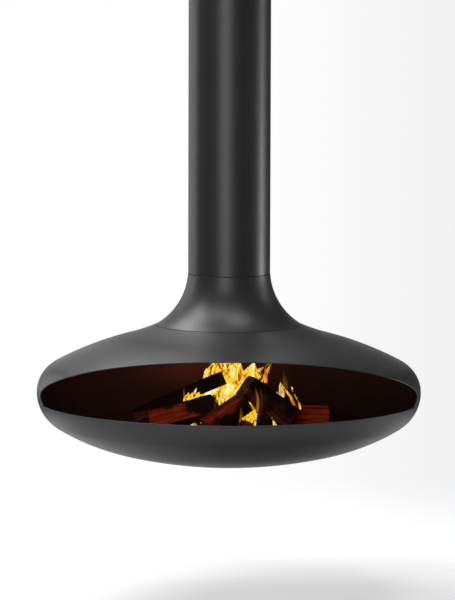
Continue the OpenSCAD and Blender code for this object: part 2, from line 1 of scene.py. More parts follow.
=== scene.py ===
"""Visual model of a hanging fireplace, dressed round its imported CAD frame.

Metres, +Z up. The origin is the centre of the ceiling plate's top face and the mouth looks along -Y.
Sizes that belong to the object are in millimetres, heights of the hearth relative to its equator.
"""

from __future__ import annotations

import logging
import math
from dataclasses import dataclass, field
from enum import Enum
from typing import Callable, NamedTuple, Optional, Sequence, Union

import bpy
from mathutils import Matrix, Vector, noise

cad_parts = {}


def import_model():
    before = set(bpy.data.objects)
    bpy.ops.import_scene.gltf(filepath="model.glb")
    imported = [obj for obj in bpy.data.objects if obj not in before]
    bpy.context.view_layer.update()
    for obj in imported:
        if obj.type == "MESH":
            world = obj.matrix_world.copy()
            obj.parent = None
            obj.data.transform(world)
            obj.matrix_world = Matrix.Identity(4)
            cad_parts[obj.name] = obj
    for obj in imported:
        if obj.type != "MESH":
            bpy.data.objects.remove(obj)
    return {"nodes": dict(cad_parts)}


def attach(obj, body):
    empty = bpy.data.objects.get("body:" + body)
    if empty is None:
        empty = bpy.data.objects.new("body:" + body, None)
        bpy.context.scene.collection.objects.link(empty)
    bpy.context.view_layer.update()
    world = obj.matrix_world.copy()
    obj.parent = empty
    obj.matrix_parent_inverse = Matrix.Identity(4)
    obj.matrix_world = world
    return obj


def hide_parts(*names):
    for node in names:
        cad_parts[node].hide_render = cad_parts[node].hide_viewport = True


Number = Union[int, float]
Colour = tuple[float, float, float]
Point = tuple[float, float]
Profile = list[tuple[float, float, float]]

LOG = logging.getLogger("fireplace")
MM = 0.001
EQUATOR_Z = -1922.96  # height of the hearth's widest level
TAU = 2 * math.pi
SAME_PLACE = 0.01  # points of an outline that are nearer than this, in millimetres, are one
SAME_LEVEL = 1e-9  # nearer than this to a whole step of a grid is on it
BLACK: Colour = (0.0, 0.0, 0.0)
WHITE: Colour = (1.0, 1.0, 1.0)


class Body(Enum):
    """Bodies of the part that the new pieces ride on."""

    CEILING = "ceiling_fixing"
    HEARTH = "hearth"
    GRATE = "grate"


# ---- Small tools ----


def tinted(colour: Colour, factors: Sequence[float]) -> Colour:
    """A colour with its red, green and blue multiplied by a factor each."""
    return tuple(part * factor for part, factor in zip(colour, factors))


def between(first: Sequence[float], second: Sequence[float], share: float) -> tuple[float, ...]:
    """Numbers a share of the way from one row to another."""
    return tuple(u + (v - u) * share for u, v in zip(first, second))


def limited(value: float) -> float:
    """A value kept between 0 and 1."""
    return max(0.0, min(1.0, value))


def polar(centre: Point, distance: float, angle: float) -> Point:
    """The point at a distance from another, in the direction of an angle in radians."""
    return centre[0] + distance * math.cos(angle), centre[1] + distance * math.sin(angle)


def moved(x: float, y: float, z: float) -> Matrix:
    """A shift by millimetres."""
    return Matrix.Translation(Vector((x, y, z)) * MM)


def placed(name: str, data: bpy.types.ID, place: Matrix) -> bpy.types.Object:
    """Makes an object of a mesh, a lamp or a camera.

    Args:
        name: the object's name.
        data: what it shows.
        place: where it stands.

    Returns:
        The object, in the scene.
    """
    made = bpy.data.objects.new(name, data)
    bpy.context.scene.collection.objects.link(made)
    made.matrix_world = place
    return made


# ---- Shader language ----


class Socket:
    """A shader value on which Python's operators add Math nodes."""

    def __init__(self, graph: Graph, link: bpy.types.NodeSocket) -> None:
        """Wraps an output socket of a graph."""
        self.graph = graph
        self.link = link

    def _math(self, operation: str, *values: Operand, clamp: bool = False) -> Socket:
        """Adds one Math node with its operands in order."""
        settings = {"operation": operation, "use_clamp": clamp}
        return self.graph.node("ShaderNodeMath", settings, dict(enumerate(values)))

    def __add__(self, other: Operand) -> Socket:
        """Sum."""
        return self._math("ADD", self, other)

    __radd__ = __add__

    def __sub__(self, other: Operand) -> Socket:
        """Difference."""
        return self._math("SUBTRACT", self, other)

    def __rsub__(self, other: Operand) -> Socket:
        """Reflected difference."""
        return self._math("SUBTRACT", other, self)

    def __mul__(self, other: Operand) -> Socket:
        """Product."""
        return self._math("MULTIPLY", self, other)

    __rmul__ = __mul__

    def __pow__(self, other: Operand) -> Socket:
        """Power."""
        return self._math("POWER", self, other)

    def clamped(self) -> Socket:
        """The value kept between 0 and 1."""
        return self._math("ADD", self, 0.0, clamp=True)

    def step(self, low: Number, high: Number) -> Socket:
        """Smooth step.

        Args:
            low: value at which the result is 0.
            high: value at which the result is 1, which may be the smaller one.

        Returns:
            The eased share of the way from low to high.
        """
        if low > high:
            return 1 - self.step(high, low)
        settings = {"interpolation_type": "SMOOTHSTEP", "clamp": True}
        return self.graph.node("ShaderNodeMapRange", settings, {0: self, 1: low, 2: high, 3: 0.0, 4: 1.0})


Operand = Union[Socket, Number]
Paint = Union[Socket, Colour]


class Pattern(NamedTuple):
    """A noise: features a metre, octaves, what each of them keeps, distortion, and scale along X, Y, Z."""

    scale: Number
    detail: Number = 3
    rough: float = 0.5
    twist: float = 0.0
    stretch: Optional[Colour] = None


class Graph:
    """Builds one node tree."""

    def __init__(self, tree: bpy.types.NodeTree) -> None:
        """Empties the node tree of a material or a world for building."""
        self.tree = tree
        tree.nodes.clear()

    def node(
        self,
        kind: str,
        settings: Optional[dict] = None,
        inputs: Optional[dict] = None,
        output: Union[int, str] = 0,
    ) -> Optional[Socket]:
        """Adds any node.

        Args:
            kind: the node's type.
            settings: its properties, set first; "stops" holds the colour stops of a ramp.
            inputs: values or links by socket name or number.
            output: name or number of the output that is wanted.

        Returns:
            That output, or nothing for the tree's end.
        """
        made = self.tree.nodes.new(kind)
        for name, value in (settings or {}).items():
            if name == "stops":
                self._set_stops(made.color_ramp, value)
            else:
                setattr(made, name, value)
        for name, value in (inputs or {}).items():
            if isinstance(value, Socket):
                self.tree.links.new(value.link, made.inputs[name])
            elif isinstance(value, tuple) and made.inputs[name].type == "RGBA":
                made.inputs[name].default_value = (*value, 1.0)
            else:
                made.inputs[name].default_value = value
        return Socket(self, made.outputs[output]) if len(made.outputs) else None

    @staticmethod
    def _set_stops(ramp: bpy.types.ColorRamp, stops: Sequence[tuple[float, Colour]]) -> None:
        """Writes a ramp's stops.

        Args:
            ramp: the ramp to write to.
            stops: position and colour of each stop.
        """
        while len(ramp.elements) < len(stops):
            ramp.elements.new(1.0)
        for element, (place, colour) in zip(ramp.elements, stops):
            element.position = place
            element.color = (*colour, 1.0)

    def place(self) -> Socket:
        """The point's place in the object's own space, in metres."""
        return self.node("ShaderNodeTexCoord", output="Object")

    def split(self, vector: Socket) -> tuple[Socket, Socket, Socket]:
        """The X, Y and Z of a vector."""
        made = self.node("ShaderNodeSeparateXYZ", {}, {0: vector}).link.node
        return tuple(Socket(self, made.outputs[i]) for i in range(3))

    def scaled(self, vector: Socket, factors: Colour) -> Socket:
        """A vector multiplied part by part."""
        return self.node("ShaderNodeVectorMath", {"operation": "MULTIPLY"}, {0: vector, 1: factors})

    def shifted(self, vector: Socket, by: Number) -> Socket:
        """A vector with a number added to each part."""
        return self.node("ShaderNodeVectorMath", {"operation": "ADD"}, {0: vector, 1: (by,) * 3})

    def noise(self, vector: Socket, pattern: Pattern) -> Socket:
        """Fractal noise about 0.5.

        Args:
            vector: where it is read.
            pattern: what it is like.

        Returns:
            The noise value.
        """
        scale, detail, rough, twist, stretch = pattern
        where = self.scaled(vector, stretch) if stretch else vector
        inputs = {"Vector": where, "Scale": scale, "Detail": detail, "Roughness": rough, "Distortion": twist}
        return self.node("ShaderNodeTexNoise", {}, inputs)

    def cells(self, vector: Socket, scale: Number, feature: str = "F1", randomness: Number = 1.0) -> Socket:
        """A distance in a pattern of cells, with cells a unit and how irregular they are."""
        inputs = {"Vector": vector, "Scale": scale, "Randomness": randomness}
        return self.node("ShaderNodeTexVoronoi", {"feature": feature}, inputs, "Distance")

    def mixed(self, share: Operand, first: Paint, second: Paint) -> Socket:
        """A blend from the first colour at 0 to the second at 1."""
        return self.node("ShaderNodeMix", {"data_type": "RGBA"}, {"Factor": share, 6: first, 7: second}, 2)

    def ramp(self, value: Socket, stops: Sequence[tuple[float, Colour]]) -> Socket:
        """A colour read from stops, each of them a position and a colour."""
        return self.node("ShaderNodeValToRGB", {"stops": stops}, {0: value})

    def bump(self, height: Socket, distance: Number, strength: Number) -> Socket:
        """A normal bent by a height, where 1 stands for the distance in metres."""
        inputs = {"Height": height, "Distance": distance, "Strength": strength}
        return self.node("ShaderNodeBump", {}, inputs)

    def attribute(self, name: str) -> tuple[Socket, Socket, Socket]:
        """The three parts of a named attribute of the mesh."""
        return self.split(self.node("ShaderNodeAttribute", {"attribute_name": name}, {}, "Vector"))

    def surface(self, **inputs: object) -> None:
        """Ends the tree in a Principled surface.

        Args:
            inputs: socket values and links, with _ for the blank in a socket's name.
        """
        named = {name.replace("_", " "): value for name, value in inputs.items()}
        shader = self.node("ShaderNodeBsdfPrincipled", {}, named)
        self.node("ShaderNodeOutputMaterial", {}, {"Surface": shader})


# ---- Finishes ----


@dataclass(frozen=True)
class Finish:
    """Base of the finishes: a named material that is made once."""

    name: str

    def material(self) -> bpy.types.Material:
        """Gives the finish's material, made at its first use.

        Returns:
            The material.
        """
        found = bpy.data.materials.get(self.name)
        if found is None:
            found = bpy.data.materials.new(self.name)
            found.use_nodes = True
            self.paint(Graph(found.node_tree))
        return found


    def paint(self, graph: Graph) -> None:
        """Writes the finish's nodes into an empty graph."""
        raise NotImplementedError


@dataclass(frozen=True)
class StovePaint(Finish):
    """Satin heat-resistant paint, sprayed on sheet steel."""

    tone: Colour = (0.021, 0.0212, 0.022)
    dust: Colour = (0.12, 0.118, 0.112)
    gloss: float = 0.39
    clouding: Point = (0.88, 1.16)
    peel: Pattern = Pattern(420, 2)
    cloud: Pattern = Pattern(5, 3, 0.55, 0.4)
    grain: Pattern = Pattern(900, 1)
    dusting: Pattern = Pattern(9, 2)
    specks: float = 60.0
    peel_depth: float = 0.00006

    def paint(self, graph: Graph) -> None:
        """Fine orange peel, slight clouding of tone and gloss, a few dust specks.

        Args:
            graph: the empty graph to build in.
        """
        place = graph.place()
        peel, cloud, grain, dusting = (
            graph.noise(place, pattern) for pattern in (self.peel, self.cloud, self.grain, self.dusting)
        )
        dust = graph.cells(place, self.specks).step(0.06, 0.02) * dusting.step(0.56, 0.7)
        darker, paler = (tinted(self.tone, (factor,) * 3) for factor in self.clouding)
        body = graph.mixed((cloud * 0.7 + grain * 0.3).clamped(), darker, paler)
        graph.surface(
            Base_Color=graph.mixed(dust * 0.35, body, self.dust),
            Roughness=self.gloss + (cloud - 0.5) * 0.1 + grain * 0.03 + dust * 0.2,
            Normal=graph.bump(peel, self.peel_depth, 0.5),
        )


@dataclass(frozen=True)
class SootedSteel(Finish):
    """Steel inside the fire chamber, under a brown-black film of soot."""

    tone: Colour = (0.03, 0.0195, 0.019)
    film: Colour = (0.021, 0.0155, 0.0162)
    # painted shade: the darker tone of the lower chamber
    low_shade: Colour = (0.017, 0.0138, 0.0145)
    # painted firelight: a red-brown glow round the spot behind the fire, fading out over the reach
    painted_firelight: Colour = (0.14, 0.062, 0.05)
    low_shade_band: Point = (0.0, -0.07)
    fire_spot: Colour = (-0.05, 0.38, 0.04)
    fire_reach: Point = (0.31, 0.0)
    smoke: Pattern = Pattern(9, 5, 0.6, 0.8, (1, 1, 0.35))
    flake: Pattern = Pattern(140, 3, 0.6)
    flake_depth: float = 0.0004

    def paint(self, graph: Graph) -> None:
        """Clouds of soot, with a painted red-brown pool of firelight behind the fire and painted shade low in
        the chamber.

        Args:
            graph: the empty graph to build in.
        """
        place = graph.place()
        up = graph.split(place)[2]
        smoke, flake = graph.noise(place, self.smoke), graph.noise(place, self.flake)
        soot = (smoke.step(0.34, 0.66) * 0.75 + flake * 0.25).clamped()
        # painted shade: darker below the band, low in the chamber
        low = (up + (smoke - 0.5) * 0.05).step(*self.low_shade_band)
        # painted firelight: red-brown near the spot behind the fire
        spot = {0: place, 1: self.fire_spot}
        away = graph.node("ShaderNodeVectorMath", {"operation": "DISTANCE"}, spot, "Value")
        fire_share = away.step(*self.fire_reach) * (1 - soot * 0.35)
        upper = graph.mixed(fire_share, graph.mixed(soot, self.tone, self.film), self.painted_firelight)
        graph.surface(
            Base_Color=graph.mixed(low, upper, self.low_shade),
            Roughness=0.7 + soot * 0.25,
            Specular_IOR_Level=0.06,
            Normal=graph.bump(flake, self.flake_depth, 0.5),
        )


@dataclass(frozen=True)
class WornMetal(Finish):
    """Metal or primer with a fine pattern in its gloss and relief, and patches of wear or dirt.

    The patches begin and are full at the two values of patch_edge. gloss is a roughness, what the fine
    pattern adds to it and what the patches add. relief is the depth in metres and its strength.
    """

    tone: Colour
    patch_tone: Colour
    cover: float
    fine: Pattern
    patches: Pattern
    patch_edge: Point
    gloss: Colour
    relief: Point
    metal: float = 1.0
    bared: float = 0.0

    def paint(self, graph: Graph) -> None:
        """The fine pattern all over, and the patches in colour, gloss and, where they bare metal, shine.

        Args:
            graph: the empty graph to build in.
        """
        place = graph.place()
        fine = graph.noise(place, self.fine)
        patch = graph.noise(place, self.patches).step(*self.patch_edge)
        base, by_fine, by_patch = self.gloss
        graph.surface(
            Base_Color=graph.mixed(patch * self.cover, self.tone, self.patch_tone),
            Metallic=self.metal + patch * self.bared if self.bared else self.metal,
            Roughness=base + fine * by_fine + patch * by_patch,
            Normal=graph.bump(fine, *self.relief),
        )


@dataclass(frozen=True)
class BrushedSteel(Finish):
    """Bare steel with fine drawing lines."""

    tone: Colour = (0.46, 0.46, 0.47)
    gloss: float = 0.34
    lines: Pattern = Pattern(1, 3, 0.6, stretch=(40, 40, 1800))
    clouds: Pattern = Pattern(12)
    line_tone: Colour = (0.2, 0.2, 0.205)
    heat_tint: Colour = (0.8, 0.72, 0.62)
    line_depth: float = 0.00004

    def paint(self, graph: Graph) -> None:
        """Long thin lines in tone and gloss, with cloudy heat tint.

        Args:
            graph: the empty graph to build in.
        """
        place = graph.place()
        line, tint = graph.noise(place, self.lines), graph.noise(place, self.clouds).step(0.45, 0.75)
        colour = graph.mixed(tint * 0.4, self.tone, tinted(self.tone, self.heat_tint))
        graph.surface(
            Base_Color=graph.mixed(line * 0.3, colour, self.line_tone),
            Metallic=1.0,
            Roughness=self.gloss + (line - 0.5) * 0.18,
            Normal=graph.bump(line, self.line_depth, 0.4),
        )


@dataclass(frozen=True)
class BraidedRope(Finish):
    """Glass-fibre sealing rope."""

    tone: Colour = (0.62, 0.59, 0.52)
    sooted: Colour = (0.16, 0.14, 0.12)
    strands: Colour = (520, 520, 700)
    bloom: Pattern = Pattern(30, 4, 0.6)
    braid_depth: float = -0.0006

    def paint(self, graph: Graph) -> None:
        """A crossed braid with a grey bloom of soot.

        Args:
            graph: the empty graph to build in.
        """
        place = graph.place()
        braid = graph.cells(graph.scaled(place, self.strands), 1, "F1", 0.25)
        soot = graph.noise(place, self.bloom).step(0.4, 0.7)
        colour = graph.mixed((braid * 0.5 + soot * 0.5).clamped(), self.tone, self.sooted)
        graph.surface(Base_Color=colour, Roughness=0.88, Normal=graph.bump(braid, self.braid_depth, 0.8))


@dataclass(frozen=True)
class BurningTimber(Finish):
    """Split hardwood, with the fire's red light painted into its colour and charred where the fire reaches
    it.
    """

    # painted firelight: the wood's colour is reddened to stand in for the fire's light on it
    red: Colour = (0.4, 0.04, 0.009)
    pale: Colour = (1.75, 2.3, 3.2)
    dark: Colour = (0.2, 0.24, 0.3)
    sawn: Colour = (0.1, 0.04, 0.014)
    coal: Colour = (0.015, 0.0037, 0.0037)
    ash: Colour = (0.05, 0.02, 0.013)
    glow: Colour = (1.0, 0.16, 0.012)
    grain: Pattern = Pattern(1, 6, 0.62, 0.6, (7, 150, 150))
    fibre: Pattern = Pattern(1, 2, stretch=(50, 1100, 1100))
    patches: Pattern = Pattern(19, 4, 0.6, 0.6)
    checks: Colour = (60, 120, 120)
    relief: float = 0.0016
    ember: float = 0.0
    seed: float = 0.0

    def paint(self, graph: Graph) -> None:
        """Grain along the log, year rings on its ends, a char front with checks, a little glow in them.

        Args:
            graph: the empty graph to build in.
        """
        own = graph.place()
        place = graph.shifted(own, self.seed)
        patterns = (self.grain, self.fibre, self.patches)
        grain, fibre, patch = (graph.noise(place, pattern) for pattern in patterns)
        charred, end, _ = graph.attribute("char")
        settings = {"wave_type": "RINGS", "rings_direction": "X"}
        shape = {"Vector": own, "Scale": 95, "Distortion": 2.5, "Detail": 3, "Detail Scale": 1.5}
        rings = graph.node("ShaderNodeTexWave", settings, shape, "Fac")
        front = (charred + (patch - 0.5) * 0.55).step(0.42, 0.6)
        check = graph.cells(graph.scaled(place, self.checks), 1, "DISTANCE_TO_EDGE")
        stops = ((0.36, tinted(self.red, self.dark)), (0.5, self.red), (0.66, tinted(self.red, self.pale)))
        wood = graph.mixed(end * 0.5, graph.ramp(grain * (1 - end) + rings * end, stops), self.sawn)
        coal = graph.mixed(fibre * 0.6 * patch, self.coal, self.ash)
        height = grain * (1 - front) * 0.5 + fibre * 0.15 + check.step(0.0, 0.14) * front * 0.7
        glow = check.step(0.045, 0.0) * front * patch.step(0.52, 0.66)
        graph.surface(
            Base_Color=graph.mixed(front, wood, coal),
            Roughness=0.74 + front * 0.1,
            Specular_IOR_Level=0.1,
            Normal=graph.bump(height, self.relief, 0.8),
            Emission_Color=graph.mixed(glow, BLACK, self.glow),
            Emission_Strength=self.ember,
        )


@dataclass(frozen=True)
class FlameGas(Finish):
    """Burning gas: glowing, ragged and clear at its edges."""

    cool: Colour = (0.3, 0.07, 0.004)
    edge: Colour = (0.75, 0.27, 0.01)
    body: Colour = (0.95, 0.62, 0.035)
    core: Colour = (1.0, 0.86, 0.26)
    flare: Colour = (1.0, 0.95, 0.66)
    raggedness: float = 1.0
    heat: float = 0.36
    fade: float = 0.3
    rise: float = 0.42
    rim: Point = (0.12, 0.32)
    cover: float = 1.0
    seed: float = 0.0
    swirl: Pattern = Pattern(19, 2, 0.5, 1.4)
    lace: Pattern = Pattern(62, 2, 0.5, 2.2)

    def paint(self, graph: Graph) -> None:
        """Colour from the edge to the core, broken up by rising noise; clear past a ragged rim.

        Args:
            graph: the empty graph to build in.
        """
        rim, height, _ = graph.attribute("tongue")
        place = graph.scaled(graph.shifted(graph.place(), self.seed), (1.0, 1.0, self.rise))
        swirl, lace = graph.noise(place, self.swirl), graph.noise(place, self.lace)
        torn = (swirl - 0.5) * 1.9 + (lace - 0.5) * 1.5
        density = rim + torn * self.raggedness - height * self.fade
        heat = density * 0.22 + (lace - 0.5) * 2.1 + (swirl - 0.5) * 1.7 - height * 0.08 + self.heat
        tones = (self.cool, self.edge, self.body, self.body, self.core, self.flare)
        graph.surface(
            Base_Color=BLACK,
            Roughness=1.0,
            Specular_IOR_Level=0.0,
            Emission_Color=graph.ramp(heat, tuple(zip((0.12, 0.3, 0.44, 0.7, 0.88, 1.0), tones))),
            Emission_Strength=1.0,
            Alpha=density.step(*self.rim) * self.cover,
        )


class FlameKind(Enum):
    """The looks that a flame can have, the colours first: cool, edge, body, core and flare."""

    BODY = FlameGas("flame_yellow")
    CORE = FlameGas("flame_bright", raggedness=0.8, heat=0.44, seed=1.7)
    LICK = FlameGas(
        "flame_orange", (0.2, 0.03, 0.004), (0.52, 0.14, 0.01), (0.86, 0.36, 0.03), (0.97, 0.68, 0.14),
        raggedness=1.2, rise=0.25, rim=(0.1, 0.5), cover=0.85, seed=4.1,
    )
    PALE = FlameGas(
        "flame_pale", (0.35, 0.14, 0.03), (0.75, 0.42, 0.08), (0.95, 0.74, 0.25), (1.0, 0.92, 0.6),
        raggedness=1.1, rise=0.3, rim=(0.1, 0.6), cover=0.9, seed=8.3,
    )
    VEIL = FlameGas(
        "flame_veil", (0.2, 0.03, 0.004), (0.5, 0.14, 0.012), (0.6, 0.22, 0.02), (0.75, 0.32, 0.04),
        (0.8, 0.38, 0.06),
        raggedness=1.2, heat=0.26, fade=0.9, rise=0.08, rim=(0.0, 1.2), cover=0.2, seed=2.2,
    )


PAINT = StovePaint("shell_paint_satin")
TUBE_PAINT = StovePaint("tube_paint_satin", gloss=0.37)
SOOT = SootedSteel("chamber_soot")
BARE = BrushedSteel("drawn_steel")
LINER = BrushedSteel("liner_steel", (0.42, 0.41, 0.4), 0.38, Pattern(1, 3, 0.6, stretch=(900, 900, 12)))
ROPE = BraidedRope("glass_rope")
PRIMER = WornMetal(
    "primer_black",
    tone=(0.026, 0.026, 0.027),
    patch_tone=(0.085, 0.08, 0.075),
    cover=0.4,
    fine=Pattern(600, 2, 0.6),
    patches=Pattern(22, 5, 0.65),
    patch_edge=(0.62, 0.74),
    gloss=(0.58, 0.12, -0.12),
    relief=(0.0001, 0.5),
    metal=0.0,
    bared=0.3,
)
GROUND = WornMetal(
    "ground_steel",
    tone=(0.55, 0.55, 0.56),
    patch_tone=(0.3, 0.29, 0.28),
    cover=0.25,
    fine=Pattern(1, 2, 0.6, stretch=(300, 2400, 900)),
    patches=Pattern(60, 4, 0.6),
    patch_edge=(0.5, 0.72),
    gloss=(0.16, 0.08, 0.14),
    relief=(0.00002, 0.3),
)
BRASS = WornMetal(
    "turned_brass",
    tone=(0.5, 0.33, 0.11),
    patch_tone=(0.17, 0.1, 0.045),
    cover=0.6,
    fine=Pattern(1, 2, stretch=(60, 60, 2600)),
    patches=Pattern(45, 4, 0.6),
    patch_edge=(0.42, 0.7),
    gloss=(0.24, 0.1, 0.2),
    relief=(0.00004, 0.4),
)
IRON = WornMetal(
    "cast_iron_sooted",
    tone=(0.017, 0.0145, 0.0135),
    patch_tone=(0.12, 0.105, 0.095),
    cover=0.5,
    fine=Pattern(520, 4, 0.65),
    patches=Pattern(26, 5, 0.65),
    patch_edge=(0.55, 0.72),
    gloss=(0.68, 0.0, 0.2),
    relief=(0.0004, 0.7),
    metal=0.25,
)

# ---- Mesh tools ----


@dataclass
class MeshParts:
    """Points, faces and what each of them carries, before they become a mesh."""

    points: list[Vector] = field(default_factory=list)
    normals: list[Vector] = field(default_factory=list)
    marks: list[Colour] = field(default_factory=list)
    faces: list[tuple[int, ...]] = field(default_factory=list)
    slots: list[int] = field(default_factory=list)

    def add(self, point: Vector, normal: Vector, mark: Colour = BLACK) -> int:
        """Adds a point.

        Args:
            point: its place in millimetres.
            normal: the surface's direction there.
            mark: three numbers for the material.

        Returns:
            The point's number.
        """
        self.points.append(point)
        self.normals.append(normal)
        self.marks.append(mark)
        return len(self.points) - 1

    def face(self, corners: Sequence[int], slot: int = 0) -> None:
        """Adds a face, without repeated corners.

        Args:
            corners: numbers of its points.
            slot: its material slot.
        """
        kept = tuple(c for i, c in enumerate(corners) if c != corners[i - 1])
        if len(set(kept)) > 2:
            self.faces.append(kept)
            self.slots.append(slot)

    def band(self, first: Sequence[int], second: Sequence[int], flip: bool = False) -> None:
        """Joins two rings of points by a band of faces.

        Args:
            first: numbers of one ring's points.
            second: numbers of the next ring's points, as many.
            flip: whether the faces look the other way.
        """
        for n in range(len(first)):
            m = (n + 1) % len(first)
            quad = [first[n], first[m], second[m], second[n]]
            self.face(quad[::-1] if flip else quad)

    def build(
        self, name: str, finishes: Sequence[Finish], mark_name: str = "", place: Matrix = Matrix.Identity(4)
    ) -> bpy.types.Object:
        """Makes the object.

        Args:
            name: the piece's name.
            finishes: one finish a material slot.
            mark_name: name of the attribute that takes the marks. Without it, the mesh takes the normals.
            place: where the object stands.

        Returns:
            The new object.
        """
        mesh = bpy.data.meshes.new(name)
        mesh.from_pydata([p * MM for p in self.points], [], self.faces)
        mesh.polygons.foreach_set("material_index", self.slots)
        mesh.polygons.foreach_set("use_smooth", [True] * len(self.faces))
        if mark_name:
            layer = mesh.attributes.new(mark_name, "FLOAT_VECTOR", "POINT")
            layer.data.foreach_set("vector", [part for mark in self.marks for part in mark])
        for finish in finishes:
            mesh.materials.append(finish.material())
        mesh.update()
        if not mark_name:
            mesh.normals_split_custom_set_from_vertices([n.normalized() for n in self.normals])
        return placed(name, mesh, place)


@dataclass(frozen=True)
class Arc:
    """Part of a circle in the half plane of radius and height, its angles in degrees.

    A negative radius gives a hollow curve.
    """

    centre: Point
    radius: float
    start: float
    end: float

    def sample(self, step: float) -> Profile:
        """Points along the arc.

        Args:
            step: largest distance between points, in millimetres.

        Returns:
            Radius, height and the angle of the outward normal of each point.
        """
        length = abs(self.radius) * math.radians(abs(self.end - self.start))
        count = max(2, math.ceil(length / step))
        angles = [math.radians(self.start + (self.end - self.start) * i / count) for i in range(count + 1)]
        return [(*polar(self.centre, self.radius, angle), angle) for angle in angles]


def joined(arcs: Sequence[Arc], step: float) -> Profile:
    """Points along tangent arcs, without the doubled joints.

    Args:
        arcs: the arcs in order.
        step: largest distance between points, in millimetres.

    Returns:
        Radius, height and normal angle of each point.
    """
    found: Profile = []
    for arc in arcs:
        for point in arc.sample(step):
            if not found or math.dist(point[:2], found[-1][:2]) > SAME_PLACE:
                found.append(point)
    return found


@dataclass
class SpunSheet:
    """A sheet-metal shell spun about the axis, with rounded edges and, if asked, a hole through it.

    The hole is given by a value that is negative inside it. lip is the radius of the edges, and lip_at
    one that varies from place to place.
    """

    line: Profile
    wall: float
    around: int
    lip: float = 0.7
    hole: Optional[Callable[[Vector], float]] = None
    lip_steps: int = 3
    lip_at: Optional[Callable[[Vector], float]] = None
    halvings: int = 26

    def trimmed(self) -> SpunSheet:
        """Draws the line's ends back by the lip, so that the rounded edges end where the sheet does.

        Returns:
            The sheet itself.
        """
        for end, beside in ((0, 1), (-1, -2)):
            (r, z, angle), (r_in, z_in, _) = self.line[end], self.line[beside]
            if r > SAME_PLACE:
                run = Vector((r_in - r, z_in - z)).normalized()
                self.line[end] = (r + run.x * self.lip, z + run.y * self.lip, angle)
        return self

    def _surface(self, turn: float, level: float) -> tuple[Vector, Vector]:
        """A point of the outer face.

        Args:
            turn: angle about the axis, in steps of the grid.
            level: place along the line, in steps.

        Returns:
            The point and the outward normal.
        """
        low = min(int(level), len(self.line) - 2)
        r, z, lean = between(self.line[low], self.line[low + 1], level - low)
        angle = TAU * turn / self.around
        out = Vector((math.sin(angle), -math.cos(angle), 0))
        return out * r + Vector((0, 0, z)), out * math.cos(lean) + Vector((0, 0, math.sin(lean)))

    def _inside(self, place: Sequence[float]) -> bool:
        """Whether a grid place lies in the hole."""
        return self.hole is not None and self.hole(self._surface(*place)[0]) <= 0

    def _cut(self, first: Point, second: Point) -> Point:
        """Where a grid edge crosses the hole's rim.

        Args:
            first: the grid place outside the hole.
            second: the grid place inside it.

        Returns:
            The grid place on the rim.
        """
        low, high = 0.0, 1.0
        for _ in range(self.halvings):
            middle = (low + high) / 2
            if self._inside(between(first, second, middle)):
                high = middle
            else:
                low = middle
        return between(first, second, low)

    def parts(self) -> MeshParts:
        """Builds both faces of the sheet and its edges.

        Returns:
            The parts, with the outer face and the edges in slot 0 and the inner face in slot 1.
        """
        made = MeshParts()
        grid: dict[tuple, int] = {}

        def corner(place: Point) -> int:
            """Gives the point at a grid place, made at its first use. The places on the axis share one.

            Args:
                place: turn about the axis and level along the line, in steps.

            Returns:
                The point's number.
            """
            turn, level = place
            pole = abs(level - round(level)) < SAME_LEVEL and self.line[round(level)][0] < SAME_PLACE
            key = ("pole",) if pole else (round(turn % self.around, 6), round(level, 6))
            if key not in grid:
                grid[key] = made.add(*self._surface(turn, level))
            return grid[key]

        outer: list[list[int]] = []
        for i in range(self.around):
            for j in range(len(self.line) - 1):
                cell = [(i, j), (i + 1, j), (i + 1, j + 1), (i, j + 1)]
                inside = [self._inside(place) for place in cell]
                kept: list[int] = []
                for n, here in enumerate(cell):
                    before = cell[n - 1]
                    if inside[n] != inside[n - 1]:
                        kept.append(corner(self._cut(before, here) if inside[n] else self._cut(here, before)))
                    if not inside[n]:
                        kept.append(corner(here))
                if kept:
                    outer.append(kept)
        return self._thicken(made, outer)

    def _thicken(self, made: MeshParts, outer: list[list[int]]) -> MeshParts:
        """Gives the outer face its wall, inner face and rounded edges.

        Args:
            made: the parts with the outer face's points.
            outer: the outer face's polygons.

        Returns:
            The finished parts.
        """
        for corners in outer:
            made.face(corners)
        inner = {
            c: made.add(made.points[c] - made.normals[c] * self.wall, -made.normals[c])
            for c in sorted({c for corners in outer for c in corners})
        }
        for corners in outer:
            made.face([inner[c] for c in reversed(corners)], 1)
        edges = dict.fromkeys((corners[n - 1], here) for corners in outer for n, here in enumerate(corners))
        rim = [(a, b) for a, b in edges if (b, a) not in edges and a != b]
        away: dict[int, Vector] = {}
        for a, b in rim:
            edge = made.points[b] - made.points[a]
            out = edge.cross(made.normals[a] + made.normals[b]).normalized()
            for c in (a, b):
                away[c] = away.get(c, Vector()) + out * edge.length
        rings = {c: [c, *self._lip(made, c, out), inner[c]] for c, out in away.items()}
        for a, b in rim:
            for n in range(len(rings[a]) - 1):
                corners = [rings[b][n], rings[a][n], rings[a][n + 1], rings[b][n + 1]]
                made.face(corners, int(n > self.lip_steps))
        return made

    def _lip(self, made: MeshParts, start: int, away: Vector) -> list[int]:
        """Adds the points of the rounded edge at a point of the rim.

        Args:
            made: the parts to add to.
            start: number of the rim's point on the outer face.
            away: direction away from the sheet.

        Returns:
            Their numbers, from the outer to the inner face.
        """
        point, up = made.points[start], made.normals[start]
        out = (away - up * away.dot(up)).normalized()
        lip = self.lip_at(point) if self.lip_at else self.lip
        quarter = [math.pi / 2 * k / self.lip_steps for k in range(1, self.lip_steps + 1)]
        found = []
        for depth, side, angles in ((lip, 1, quarter), (self.wall - lip, -1, quarter[::-1])):
            for angle in angles:
                turn = up * (math.cos(angle) * side) + out * math.sin(angle)
                found.append(made.add(point - up * depth + turn * lip, turn))
        return found


# ---- Sub-assemblies ----


